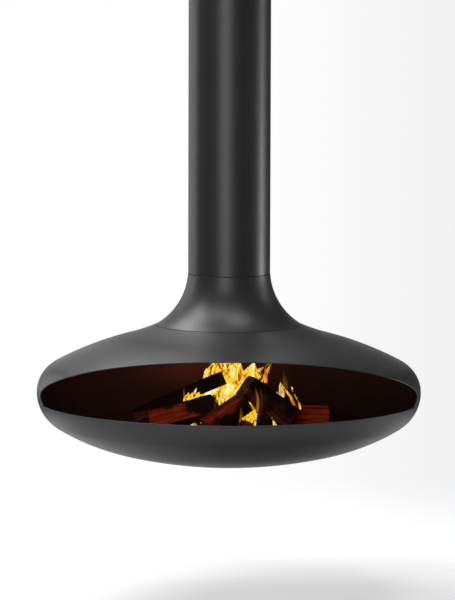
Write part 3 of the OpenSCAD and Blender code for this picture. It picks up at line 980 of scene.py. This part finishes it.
@dataclass
class SubAssembly:
    """Something that dresses CAD nodes and adds pieces on one body."""

    nodes: dict[str, bpy.types.Object]

    def dress(self, finish: Finish, *names: str) -> None:
        """Gives CAD nodes a finish.

        Args:
            finish: the finish.
            names: the nodes.
        """
        for name in names:
            mesh = self.nodes[name].data
            mesh.materials.clear()
            mesh.materials.append(finish.material())
            LOG.info("dressed %s with %s", name, finish.name)

    @staticmethod
    def mount(piece: bpy.types.Object, body: Body, slot: str, *replaced: str) -> None:
        """Puts a new piece on its body.

        Args:
            piece: the piece.
            body: what it rides on.
            slot: the record's material slot; not used.
            replaced: the CAD nodes that it stands for.
        """
        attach(piece, body.value)
        if replaced:
            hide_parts(*replaced)
        LOG.info("built %s on %s", piece.name, body.value)


@dataclass
class CeilingFixing(SubAssembly):
    """Plate, collar, spigot and rose at the ceiling."""

    def build(self) -> None:
        """Gives the fixing its finishes."""
        self.dress(PRIMER, "ceiling_plate", "hanging_collar")
        self.dress(BARE, "collar_screws", "spigot_screws", "liner_rivets")
        self.dress(LINER, "flue_spigot")
        self.dress(PAINT, "ceiling_rose")
        self.dress(BARE, "rose_screws")


@dataclass
class FlueTube(SubAssembly):
    """The visible tube, and the liner and its rings inside."""

    radius: float = 118.0
    wall: float = 3.0
    top_z: float = -12.0
    foot_z: float = -1580.0
    sides: int = 256
    steps: int = 24

    def build(self) -> None:
        """Builds the tube with its rounded ends and dresses the rest."""
        rise = (self.top_z - self.foot_z) / self.steps
        line = [(self.radius, self.foot_z + rise * i, 0.0) for i in range(self.steps + 1)]
        sheet = SpunSheet(line, self.wall, self.sides, lip=0.5).trimmed()
        tube = sheet.parts().build("tube", (TUBE_PAINT, PRIMER))
        self.mount(tube, Body.CEILING, "shell_paint", "outer_tube")
        self.dress(LINER, "flue_liner", "liner_spacers")


@dataclass
class Swivel(SubAssembly):
    """Ball bearing between the tube and the hearth."""

    def build(self) -> None:
        """Gives the bearing's pieces their finishes."""
        self.dress(PRIMER, "support_ring", "swivel_sleeve", "hub_ring")
        self.dress(GROUND, "lower_race", "upper_race", "bearing_balls")
        self.dress(BRASS, "ball_cage")
        self.dress(BARE, "ring_nut")
        self.dress(ROPE, "seal_rope")


@dataclass
class HearthShell(SubAssembly):
    """Neck, hood with its mouth, and bowl."""

    widest: float = 554.0
    wall: float = 4.0
    side_r: float = 92.2
    side_sweep: float = 62.0
    shoulder_r: float = 957.6
    shoulder_sweep: float = 13.07
    crown_r: float = 594.0
    crown_sweep: float = 9.42
    flare_r: float = 187.0
    tube_r: float = 118.0
    neck_h: float = 149.0
    neck_line: float = 1.5
    turn_gap: float = 1.5
    bowl_side_r: float = 113.5
    bowl_side_sweep: float = 58.5
    slope_r: float = 613.4
    slope_end: float = 75.66
    rim_drop: float = 25.5
    mouth_half_w: float = 538.0
    mouth_rise: float = 132.0
    mouth_lip: float = 1.7
    edge_lip: float = 0.7
    lip_rise: Point = (1.0, 12.0)
    sides: int = 256
    hood_sides: int = 360
    neck_step: float = 5.0
    bowl_step: float = 9.0
    hood_step: float = 7.0

    @property
    def rim_angle(self) -> float:
        """Angle on the bowl's side at which hood and bowl meet, in degrees."""
        return -math.degrees(math.asin(self.rim_drop / self.bowl_side_r))

    def bowl_side(self, start: float, end: float) -> Arc:
        """The bowl's side from one angle to another. The hood's foot is its upper end."""
        return Arc((self.widest - self.bowl_side_r, 0.0), self.bowl_side_r, start, end)

    def hood_arcs(self) -> list[Arc]:
        """The hood's outline, from the rim plane up to the neck's line.

        Returns:
            Tangent arcs of the outer face.
        """
        shoulder_end = self.side_sweep + self.shoulder_sweep
        side_c = (self.widest - self.side_r, 0.0)
        shoulder_c = polar(side_c, self.side_r - self.shoulder_r, math.radians(self.side_sweep))
        crown_c = polar(shoulder_c, self.shoulder_r + self.crown_r, math.radians(shoulder_end))
        return [
            self.bowl_side(self.rim_angle, 0.0),
            Arc(side_c, self.side_r, 0.0, self.side_sweep),
            Arc(shoulder_c, self.shoulder_r, self.side_sweep, shoulder_end),
            Arc(crown_c, -self.crown_r, shoulder_end, shoulder_end - self.crown_sweep),
        ]

    def bowl_arcs(self) -> list[Arc]:
        """The bowl's outline, from the axis up to the rim plane.

        Returns:
            Tangent arcs of the outer face.
        """
        side = self.bowl_side(-self.bowl_side_sweep, self.rim_angle)
        slope_c = polar(side.centre, self.bowl_side_r - self.slope_r, math.radians(-self.bowl_side_sweep))
        end = math.radians(self.slope_end)
        bottom_r = (slope_c[0] + self.slope_r * math.cos(end)) / math.cos(end)
        bottom_c = (0.0, slope_c[1] + (bottom_r - self.slope_r) * math.sin(end))
        return [
            Arc(bottom_c, bottom_r, -90.0, -self.slope_end),
            Arc(slope_c, self.slope_r, -self.slope_end, -self.bowl_side_sweep),
            side,
        ]

    def neck_arc(self) -> Arc:
        """The neck's flare, from its foot up to its top edge.

        Returns:
            One hollow arc.
        """
        crown = self.hood_arcs()[-1].sample(self.crown_r)[-1]
        reach = self.tube_r + self.flare_r
        rise = math.sqrt(self.flare_r**2 - (reach - crown[0]) ** 2)
        foot = math.degrees(math.acos((reach - crown[0]) / self.flare_r) - self.neck_line / self.flare_r)
        top = math.degrees(math.asin((rise - self.neck_h + self.turn_gap) / self.flare_r))
        return Arc((reach, crown[1] + rise), -self.flare_r, foot, top)

    def mouth(self, point: Vector) -> float:
        """How far a point is outside the mouth's ellipse.

        Args:
            point: a point of the hood, relative to the equator.

        Returns:
            A value that is negative inside the mouth.
        """
        if point.y > 0:
            return 1.0
        across, up = self.mouth_half_w + self.mouth_lip, self.mouth_rise + self.mouth_lip
        return (point.x / across) ** 2 + (point.z / up) ** 2 - 1

    def hood_lip(self, point: Vector) -> float:
        """Radius of the hood's edge: generous round the mouth, small at the joint with the bowl.

        Args:
            point: a point of the hood, relative to the equator.

        Returns:
            The radius.
        """
        start, run = self.lip_rise
        share = limited((point.z + self.rim_drop - start) / run)
        return self.edge_lip + (self.mouth_lip - self.edge_lip) * share

    def build(self) -> None:
        """Builds neck, hood and bowl and dresses the ring between neck and hood."""
        hood_line = joined(self.hood_arcs(), self.hood_step)
        sheets = {
            "neck": SpunSheet(joined([self.neck_arc()], self.neck_step), self.wall, self.sides),
            "bowl": SpunSheet(joined(self.bowl_arcs(), self.bowl_step), self.wall, self.sides),
            "hood": SpunSheet(
                hood_line, self.wall, self.hood_sides, hole=self.mouth, lip_steps=5, lip_at=self.hood_lip
            ),
        }
        level = Matrix.Translation((0, 0, EQUATOR_Z * MM))
        for node, sheet in sheets.items():
            piece = sheet.trimmed().parts().build(f"{node}_skin", (PAINT, SOOT), place=level)
            self.mount(piece, Body.HEARTH, "shell_paint", node)
        self.dress(PRIMER, "joint_ring")


@dataclass
class HearthFloor(SubAssembly):
    """Floor plate, ring, ash pan and grate."""

    def build(self) -> None:
        """Gives the floor's pieces their finishes."""
        self.dress(SOOT, "hearth_plate")
        self.dress(PRIMER, "plate_feet", "pan_ring", "ash_pan")
        self.dress(IRON, "fire_grate")


@dataclass
class Damper(SubAssembly):
    """Spindle, blade, lever and knob."""

    def build(self) -> None:
        """Gives the damper's pieces their finishes."""
        self.dress(BARE, "damper_spindle", "blade_screws", "spring_washer", "lever_screw")
        self.dress(PRIMER, "damper_blade", "damper_lever")
        self.dress(GROUND, "damper_knob")
        self.dress(BRASS, "damper_bushes")


@dataclass(frozen=True)
class Timber:
    """One split log: the node that it replaces, its size and place, and how charred it is.

    char holds the shares at the foot, at the top, on the upper face and on the near side.
    """

    node: str
    side: float
    length: float
    place: Matrix
    char: tuple[float, float, float, float]
    ember: float
    # wood colour; the red one is painted firelight
    red: Colour


@dataclass
class FireWood(SubAssembly):
    """The logs and the billets under them."""

    floor_z: float = -2029.96
    seat: float = 0.3
    wane: float = 0.16
    worn_reach: float = 0.07
    worn_depth: float = 0.03
    billet_side: float = 40.0
    low_side: float = 52.0
    outline: int = 44
    row_step: float = 4.0
    rib_grain: Point = (0.012, 0.16)
    crack_grain: Point = (0.09, 0.1)
    wave_grain: float = 0.02
    skin: float = 0.9
    rib_depth: float = 0.9
    wave_depth: float = 0.7
    crack_depth: float = 0.7
    end_depth: float = 1.6
    cap_rings: int = 6
    saw_cut: Point = (0.6, 0.8)
    saw_grain: float = 0.25
    saw_depth: float = 0.5
    char_mix: Colour = (0.7, 0.3, 0.25)
    seed: Colour = (11.0, 4.2, 9.1)
    seed_step: float = 31.7

    def _foot(self, x: float, y: float, heading: float) -> Matrix:
        """Frame of a log's foot on the floor."""
        return moved(x, y, self.floor_z) @ Matrix.Rotation(math.radians(heading), 4, "Z")

    def leaning(self, place: Sequence[float]) -> Matrix:
        """Frame of a log by its foot's X and Y, heading, tilt and length, with its X running up the log."""
        turn = Matrix.Rotation(-math.radians(place[3]), 4, "Y")
        return self._foot(*place[:3]) @ turn @ moved(0, 0, self.seat)

    def billet(
        self, place: Sequence[float], length: float, shift: float, side: float, base: float = 0.0
    ) -> Matrix:
        """Frame of a billet that carries a leaning log.

        Args:
            place: the leaning log's place.
            length: the billet's length.
            shift: its shift to the side.
            side: its side.
            base: height of what it lies on.

        Returns:
            The frame whose X runs along the billet.
        """
        reach = (base + self.seat + side) / math.tan(math.radians(place[3]))
        move = moved(reach + side / 2, shift - length / 2, base + self.seat)
        return self._foot(*place[:3]) @ move @ Matrix.Rotation(math.pi / 2, 4, "Z")

    def timbers(self) -> list[Timber]:
        """All the wood on the grate.

        Returns:
            The logs first, then the billets.
        """
        high, left = (-262, 108, -24, 24.5, 300), (-214, -5, -22, 17, 190)
        front, right = (-50, -166, 27, 29, 140), (160, -6, 200, 36, 172)
        end = self._foot(160, 86, 3) @ moved(-132.5, 0, self.seat)
        small, low, stack = self.billet_side, self.low_side, self.low_side + self.seat
        # red is painted firelight in the wood's colour
        brown, red = (0.11, 0.022, 0.01), (0.38, 0.034, 0.0075)
        fire_share, lying = (0.8, 0.8, 0.8, 0.8), (0.7, 0.7, 0.7, 0.7)
        return [
            Timber("log_high", 42, 300, self.leaning(high), (0.3, 1.25, 0.8, 0.6), 0.0, brown),
            Timber("log_left", 52, 190, self.leaning(left), (0.25, 1.0, 0.8, 0.12), 0.0, red),
            Timber("log_front", 54, 140, self.leaning(front), (1.1, 1.5, 0.0, 0.5), 0.0, red),
            Timber("log_right", 68, 172, self.leaning(right), (0.5, 0.7, 0.85, 0.4), 0.0, brown),
            Timber("log_end", 52, 265, end, (0.2, 0.4, 0.3, 0.1), 0.0, red),
            Timber("billet_low", low, 90, self.billet(high, 90, 14, low), fire_share, 0.25, brown),
            Timber("billet_top", small, 80, self.billet(high, 80, 12, small, stack), fire_share, 0.25, brown),
            Timber("billet_left", small, 76, self.billet(left, 76, 16, small), lying, 0.25, brown),
            Timber("billet_front", small, 70, self.billet(front, 70, 0, small), lying, 0.25, brown),
            Timber("billet_right", small, 100, self.billet(right, 100, 10, small), lying, 0.2, brown),
        ]

    def section(self, side: float) -> list[tuple[Vector, Vector]]:
        """Outline of a split log, with worn corners.

        Args:
            side: the log's side.

        Returns:
            Points and outward directions in the log's Y and Z.
        """
        cut, half = side * self.wane, side / 2
        corners = [(half, 0), (half, side), (-half + cut, side), (-half, side - cut), (-half, 0)]
        ring = [Vector((0, y, z)) for y, z in corners]
        sides = [ring[(i + 1) % len(ring)] - ring[i] for i in range(len(ring))]
        total, found = sum(run.length for run in sides), []
        middle = Vector((0, 0, half))
        for n in range(self.outline):
            walk, i = total * (n + 0.5) / self.outline, 0
            while walk > sides[i].length:
                walk -= sides[i].length
                i += 1
            along = sides[i].normalized()
            point = ring[i] + along * walk
            worn = max(0.0, 1 - min(walk, sides[i].length - walk) / (side * self.worn_reach))
            point += (middle - point).normalized() * (worn * worn * side * self.worn_depth)
            found.append((point, Vector((0, along.z, -along.y))))
        return found

    def build(self) -> None:
        """Builds every log with split faces, a lengthwise grain and a cracked char."""
        for index, timber in enumerate(self.timbers()):
            finish = BurningTimber(f"{timber.node}_wood", timber.red, ember=timber.ember, seed=index * 3.7)
            parts = self.log_parts(timber, index)
            name = f"{timber.node}_split"
            piece = parts.build(name, (finish,), "char", timber.place)
            slot = "fire_wood" if timber.char[0] < 0.5 else "charred_wood"
            self.mount(piece, Body.GRATE, slot, timber.node)

    def log_parts(self, timber: Timber, index: int) -> MeshParts:
        """Mesh of one log in its own frame.

        Args:
            timber: the log.
            index: its number, which seeds its shape.

        Returns:
            The parts, with the char's share in the marks.
        """
        made = MeshParts()
        ring = self.section(timber.side)
        rows = max(10, round(timber.length / self.row_step))
        offset = Vector((self.seed[0] + index * self.seed_step, *self.seed[1:]))
        loops: list[list[int]] = []
        for row in range(rows + 1):
            x = timber.length * row / rows
            sawn = self.end_depth if row in (0, rows) else 0.0
            loops.append([])
            for point, out in ring:
                spot = Vector((x, point.y, point.z))
                rib = noise.noise(self._grained(x, point, *self.rib_grain) + offset)
                wave = noise.noise(spot * self.wave_grain + offset)
                crack = noise.cell(self._grained(x, point, *self.crack_grain) + offset)
                char = self.char_at(timber, row / rows, point, wave)
                depth = self.skin + self.rib_depth * rib + self.wave_depth * wave
                depth += self.crack_depth * crack * char + sawn
                loops[-1].append(made.add(spot - out * max(0.0, depth), out, (char, 0.0, 0.0)))
        for lower, upper in zip(loops, loops[1:]):
            made.band(lower, upper)
        for loop, x, flip in ((loops[0], 0.0, True), (loops[-1], timber.length, False)):
            self.cap(made, timber, loop, x, flip, offset)
        return made

    @staticmethod
    def _grained(x: float, point: Vector, along: float, across: float) -> Vector:
        """A place in a log, scaled one way along the grain and another across it."""
        return Vector((x * along, point.y * across, point.z * across))

    def char_at(self, timber: Timber, share: float, point: Vector, wave: float) -> float:
        """How charred a point is.

        Args:
            timber: the log.
            share: place along the log.
            point: place in its section.
            wave: slow noise there.

        Returns:
            The share of char.
        """
        foot, top, upper, near = timber.char
        by_ends, by_near, by_noise = self.char_mix
        height = point.z / timber.side
        ends = foot + (top - foot) * share
        return limited(ends * by_ends + (upper - 0.5) * height + (near - 0.5) * by_near + by_noise * wave)

    def cap(
        self, made: MeshParts, timber: Timber, loop: list[int], x: float, flip: bool, offset: Vector
    ) -> None:
        """Closes an end of a log with a sawn face.

        Args:
            made: the parts to add to.
            timber: the log.
            loop: the end's outline.
            x: the end's place.
            flip: whether the face looks back along the log.
            offset: seeds the shape.
        """
        inward = 1 if flip else -1
        middle, along = Vector((x, 0, timber.side / 2)), Vector((1, 0, 0))
        inner = loop
        for ring in range(1, self.cap_rings + 1):
            following = []
            for c in loop:
                spot = middle + (made.points[c] - middle) * (1 - ring / (self.cap_rings + 1))
                saw = self.saw_depth * noise.noise(spot * self.saw_grain + offset)
                spot.x = x + inward * (self.saw_cut[0] + saw)
                following.append(made.add(spot, along, (made.marks[c][0], 1.0, 0.0)))
            made.band(inner, following, flip)
            inner = following
        tip = middle + along * (self.saw_cut[1] * inward)
        centre = made.add(tip, along, (made.marks[loop[0]][0], 1.0, 0.0))
        for n, c in enumerate(inner):
            after = inner[(n + 1) % len(inner)]
            made.face([after, c, centre] if flip else [c, after, centre])


@dataclass(frozen=True)
class Tongue:
    """One tongue of flame: its foot, width, height, lean, bow and look."""

    x: float
    y: float
    z: float
    width: float
    height: float
    lean: float
    bow: float
    kind: FlameKind


@dataclass
class Flames(SubAssembly):
    """Flames between and above the logs, and the lamp in them."""

    rings: int = 30
    sides: int = 28
    flatness: float = 0.38
    rim_power: float = 1.6
    swing: float = 0.16
    drift: float = 0.25
    roughness: float = 0.35
    seed: Colour = (5.0, 2.7, 5.1)
    seed_step: float = 17.3
    glow_power: float = 1.85
    glow_tint: Colour = (1.0, 0.35, 0.17)
    glow_radius: float = 0.03
    glow_spot: Colour = (-0.04, 0.27, EQUATOR_Z * MM + 0.11)

    @staticmethod
    def tongues() -> list[Tongue]:
        """The flames, with their feet in millimetres from the equator.

        Returns:
            All the tongues.
        """
        body, core, lick, pale, veil = FlameKind
        rows = (
            (-50, 62, -10, 60, 112, 16, -4, body), (-30, 44, -30, 84, 126, 16, 6, core),
            (0, 28, -52, 92, 152, 10, -10, body), (22, 20, -50, 80, 138, 18, 12, body),
            (14, 40, 20, 60, 80, -18, 6, core), (40, 16, -30, 84, 92, 28, 8, body),
            (56, 26, 18, 54, 68, 17, 4, body), (78, 36, 20, 46, 60, 16, 4, veil),
            (60, 24, 44, 18, 34, 62, 3, lick), (106, 20, 22, 17, 64, 14, -3, lick),
            (92, 28, 20, 14, 58, 22, 4, lick), (-128, 12, -46, 46, 66, 116, 2, core),
            (-118, 8, -48, 38, 42, 12, 2, body), (-108, 6, -16, 11, 26, 18, 1, pale),
            (-14, 4, -64, 48, 66, 4, 4, pale), (8, -2, -52, 52, 86, 2, 4, veil),
            (148, 40, -40, 30, 62, 4, 2, pale), (194, 30, -60, 13, 88, -42, 5, lick),
            (207, 26, -56, 8, 66, -26, 3, lick), (160, 34, -10, 22, 92, 0, 2, veil),
            (184, 26, 2, 5, 9, -2, 1, pale), (81, -100, -46, 13, 86, -3, 3, veil),
            (70, -112, -84, 9, 42, 3, 2, veil), (56, -55, -84, 46, 68, 6, 2, body),
            (70, -122, -94, 9, 42, 12, 1, pale), (128, -70, -104, 34, 38, -4, 2, pale),
            (20, -120, -102, 28, 36, 9, 2, pale), (-106, -100, -100, 32, 26, 12, 2, pale),
            (-54, -96, -62, 6, 10, 1, 1, pale), (-80, -112, -78, 6, 9, 1, 1, pale),
            (-43, -80, -58, 16, 46, 5, 2, veil), (-131, 10, -38, 15, 62, 2, 2, veil),
            (31, -190, -64, 16, 62, 3, 3, veil), (95, -104, -46, 8, 72, -2, 2, veil),
            (-122, 7, -42, 36, 38, 6, 2, core), (-98, 9, -30, 36, 28, 16, 1, core),
        )
        return [Tongue(*row) for row in rows]

    def build(self) -> None:
        """Builds each tongue as a closed, flattened, twisting body."""
        for index, tongue in enumerate(self.tongues()):
            parts = self.tongue_parts(tongue, index)
            piece = parts.build(f"flame_{index:02d}", (tongue.kind.value,), "tongue")
            piece.visible_shadow = False
            self.mount(piece, Body.GRATE, "fire_wood")
        self.glow()

    def glow(self) -> None:
        """Hangs a warm lamp in the flames, which reddens the chamber round them."""
        data = bpy.data.lights.new("fire_glow", "POINT")
        data.energy, data.color, data.shadow_soft_size = self.glow_power, self.glow_tint, self.glow_radius
        placed("fire_glow", data, Matrix.Translation(self.glow_spot))

    @staticmethod
    def swell(t: float) -> float:
        """Share of a tongue's width at a share of its height: round at the foot, thin at the tip."""
        return math.sin(math.pi * min(1.0, t * 0.75 + 0.16)) ** 0.9 * (1 - t**3) + 0.01

    def tongue_parts(self, tongue: Tongue, index: int) -> MeshParts:
        """Mesh of one tongue.

        Args:
            tongue: the flame.
            index: its number, which seeds its shape.

        Returns:
            The parts, with edge and height in the marks.
        """
        made = MeshParts()
        offset = Vector((self.seed[0] + index * self.seed_step, *self.seed[1:]))
        foot = Vector((tongue.x, tongue.y, tongue.z + EQUATOR_Z))
        loops: list[list[int]] = []
        for ring in range(self.rings + 1):
            t = ring / self.rings
            swell = self.swell(t)
            sway = tongue.lean * t + tongue.bow * math.sin(math.pi * 1.6 * t)
            sway += self.swing * tongue.width * t * noise.noise(Vector((t * 2.6, 0, 0)) + offset)
            drift = self.drift * tongue.width * noise.noise(offset + Vector((0, t * 2, 0)))
            middle = foot + Vector((sway, drift, t * tongue.height))
            loops.append([])
            for side in range(self.sides):
                across, back = polar((0.0, 0.0), 1.0, TAU * side / self.sides)
                rough = 1 + self.roughness * noise.noise(Vector((across, back, t * 3)) + offset)
                half = tongue.width / 2 * swell * rough
                out = Vector((across, back * self.flatness, 0))
                edge = 1 - abs(across) ** self.rim_power
                loops[-1].append(made.add(middle + out * half, out, (edge, t, index * 0.1)))
        for lower, upper in zip(loops, loops[1:]):
            made.band(lower, upper)
        made.face(loops[0][::-1])
        made.face(loops[-1])
        return made


# ---- Studio ----


def seen_share(graph: Graph, mirrored: Socket) -> Socket:
    """Share in which a ray shows the surroundings as white.

    Args:
        graph: the graph of the floor or the world.
        mirrored: the share for mirror rays.

    Returns:
        1 for camera and transmission rays, the given share for mirror rays, 0 for the rest.
    """
    path = graph.node("ShaderNodeLightPath").link.node
    straight, glossy, through = (
        Socket(graph, path.outputs[f"Is {kind} Ray"]) for kind in ("Camera", "Glossy", "Transmission")
    )
    return (straight + through + glossy * mirrored).clamped()


@dataclass(frozen=True)
class StudioFloor(Finish):
    """Pale seamless paper that looks white except in the object's shadow, and fades out far away."""

    tone: float = 0.59
    lift: float = 0.52
    shade: Point = (0.5, 1.5)
    fade: Point = (1.2, 2.6)
    dusk: float = 0.88
    right: Point = (-0.1, 0.9)

    def paint(self, graph: Graph) -> None:
        """Diffuse paper, lifted to white for the rays that show it, a little greyer to the right.

        Args:
            graph: the empty graph to build in.
        """
        across, along, _ = graph.split(graph.place())
        away = (across * across + along * along) ** 0.5
        paper = graph.node("ShaderNodeBsdfDiffuse", {}, {"Color": (self.tone,) * 3})
        white = graph.mixed(across.step(*self.right), WHITE, (self.dusk,) * 3)
        lift = seen_share(graph, away.step(*self.shade)) * self.lift
        glow = graph.node("ShaderNodeEmission", {}, {"Color": white, "Strength": lift})
        lifted = graph.node("ShaderNodeAddShader", {}, {0: paper, 1: glow})
        gone = graph.node("ShaderNodeBsdfTransparent")
        whole = graph.node("ShaderNodeMixShader", {}, {0: away.step(*self.fade), 1: lifted, 2: gone})
        graph.node("ShaderNodeOutputMaterial", {}, {"Surface": whole})


@dataclass(frozen=True)
class Surroundings:
    """The room: a white backdrop as it is seen, and little light of its own."""

    level: float = 0.05
    dusk: float = 0.88
    right: Point = (-0.01, 0.07)
    gloss_reach: Point = (0.975, 0.998)

    def paint(self, graph: Graph) -> None:
        """White for camera and transmission rays, and for mirror rays towards the backdrop.

        Args:
            graph: the world's graph.
        """
        across, back, _ = graph.split(graph.node("ShaderNodeTexCoord", output="Generated"))
        white = graph.mixed(across.step(*self.right), WHITE, (self.dusk,) * 3)
        strength = seen_share(graph, back.step(*self.gloss_reach)) * (1 - self.level) + self.level
        sky = graph.node("ShaderNodeBackground", {}, {"Color": white, "Strength": strength})
        graph.node("ShaderNodeOutputWorld", {}, {"Surface": sky})


@dataclass(frozen=True)
class Softbox:
    """A rectangular lamp on a circle round the object's axis, unseen by the camera."""

    name: str
    bearing: float
    reach: float
    height: float
    aim: float
    width: float
    tall: float
    power: float

    def hang(self) -> None:
        """Makes the lamp and turns it to its aim on the axis."""
        data = bpy.data.lights.new(self.name, "AREA")
        data.shape, data.size, data.size_y, data.energy = "RECTANGLE", self.width, self.tall, self.power
        angle = math.radians(self.bearing)
        place = Vector((self.reach * math.sin(angle), -self.reach * math.cos(angle), self.height))
        turn = (Vector((0, 0, self.aim)) - place).to_track_quat("-Z", "Y").to_matrix().to_4x4()
        placed(self.name, data, Matrix.Translation(place) @ turn).visible_camera = False


@dataclass
class Studio:
    """Camera, lamps, floor and white surroundings."""

    lens: float = 240.0
    sensor: float = 36.0
    sight: float = 60.0
    pitch: float = 6.15
    distance: float = 11.52
    aim: Colour = (-0.0045, 0.0, -1.6584)
    roll: float = 0.155
    floor_z: float = -2.525
    floor_half: float = 2.7

    def camera(self) -> None:
        """Puts the camera at the photograph's viewing angle."""
        data = bpy.data.cameras.new("camera")
        data.lens, data.sensor_width, data.clip_end = self.lens, self.sensor, self.sight
        tilt = math.radians(self.pitch)
        back = Vector((0, -math.cos(tilt), math.sin(tilt))) * self.distance
        turn = Matrix.Rotation(math.pi / 2 - tilt, 4, "X") @ Matrix.Rotation(math.radians(self.roll), 4, "Z")
        made = placed("camera", data, Matrix.Translation(Vector(self.aim) + back) @ turn)
        bpy.context.scene.camera = made

    def softboxes(self) -> list[Softbox]:
        """The lamps: bearing in degrees from the camera to the right, distances in metres, and watts.

        Returns:
            Tall strips at the object's height, soft squares above it and one overhead.
        """
        strip, square = (4.0, -1.1, -1.1, 0.84, 2.8), (2.6, 1.6, -1.6, 1.8, 1.6)
        high = (1.9, 2.2, -1.7, 1.3, 1.1)
        strips = ((-162, 4.8), (-138, 14.5), (-114, 21.8), (102, 25.0), (162, 1.3))
        squares = ((-180, 14.6), (-135, 70.1), (-90, 74.3))
        return [
            *(Softbox(f"strip_{n}", turn, *strip, power) for n, (turn, power) in enumerate(strips)),
            *(Softbox(f"square_{n}", turn, *square, power) for n, (turn, power) in enumerate(squares)),
            Softbox("front_strip", -11, 4.0, -1.1, -1.1, 1.8, 2.8, 59.0),
            Softbox("high_front", -10, *high, 13.0),
            Softbox("high_left", -38, *high, 24.0),
            Softbox("low_strip", 102, 4.0, -2.1, -1.7, 0.84, 1.05, 28.0),
            Softbox("overhead", 45, 1.27, 3.0, -1.6, 1.6, 1.6, 60.6),
        ]

    def room(self) -> None:
        """Lays the floor and whitens the surroundings."""
        mesh = bpy.data.meshes.new("studio_floor")
        half = self.floor_half
        corners = [(-half, -half, 0), (half, -half, 0), (half, half, 0), (-half, half, 0)]
        mesh.from_pydata(corners, [], [(0, 1, 2, 3)])
        mesh.materials.append(StudioFloor("studio_paper").material())
        placed("studio_floor", mesh, Matrix.Translation((0, 0, self.floor_z)))

        world = bpy.data.worlds.new("studio_world")
        world.use_nodes = True
        Surroundings().paint(Graph(world.node_tree))
        bpy.context.scene.world = world
        bpy.context.scene.view_settings.view_transform = "Standard"

    def build(self) -> None:
        """Builds the whole studio."""
        self.camera()
        for box in self.softboxes():
            box.hang()
        self.room()


def main() -> None:
    """Builds the visual model and its studio in order."""
    logging.basicConfig(level=logging.INFO, format="%(name)s: %(message)s")
    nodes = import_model()["nodes"]
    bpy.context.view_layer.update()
    Studio().build()
    for kind in (CeilingFixing, FlueTube, Swivel, HearthShell, HearthFloor, Damper, FireWood, Flames):
        kind(nodes).build()


if __name__ == "__main__":
    main()
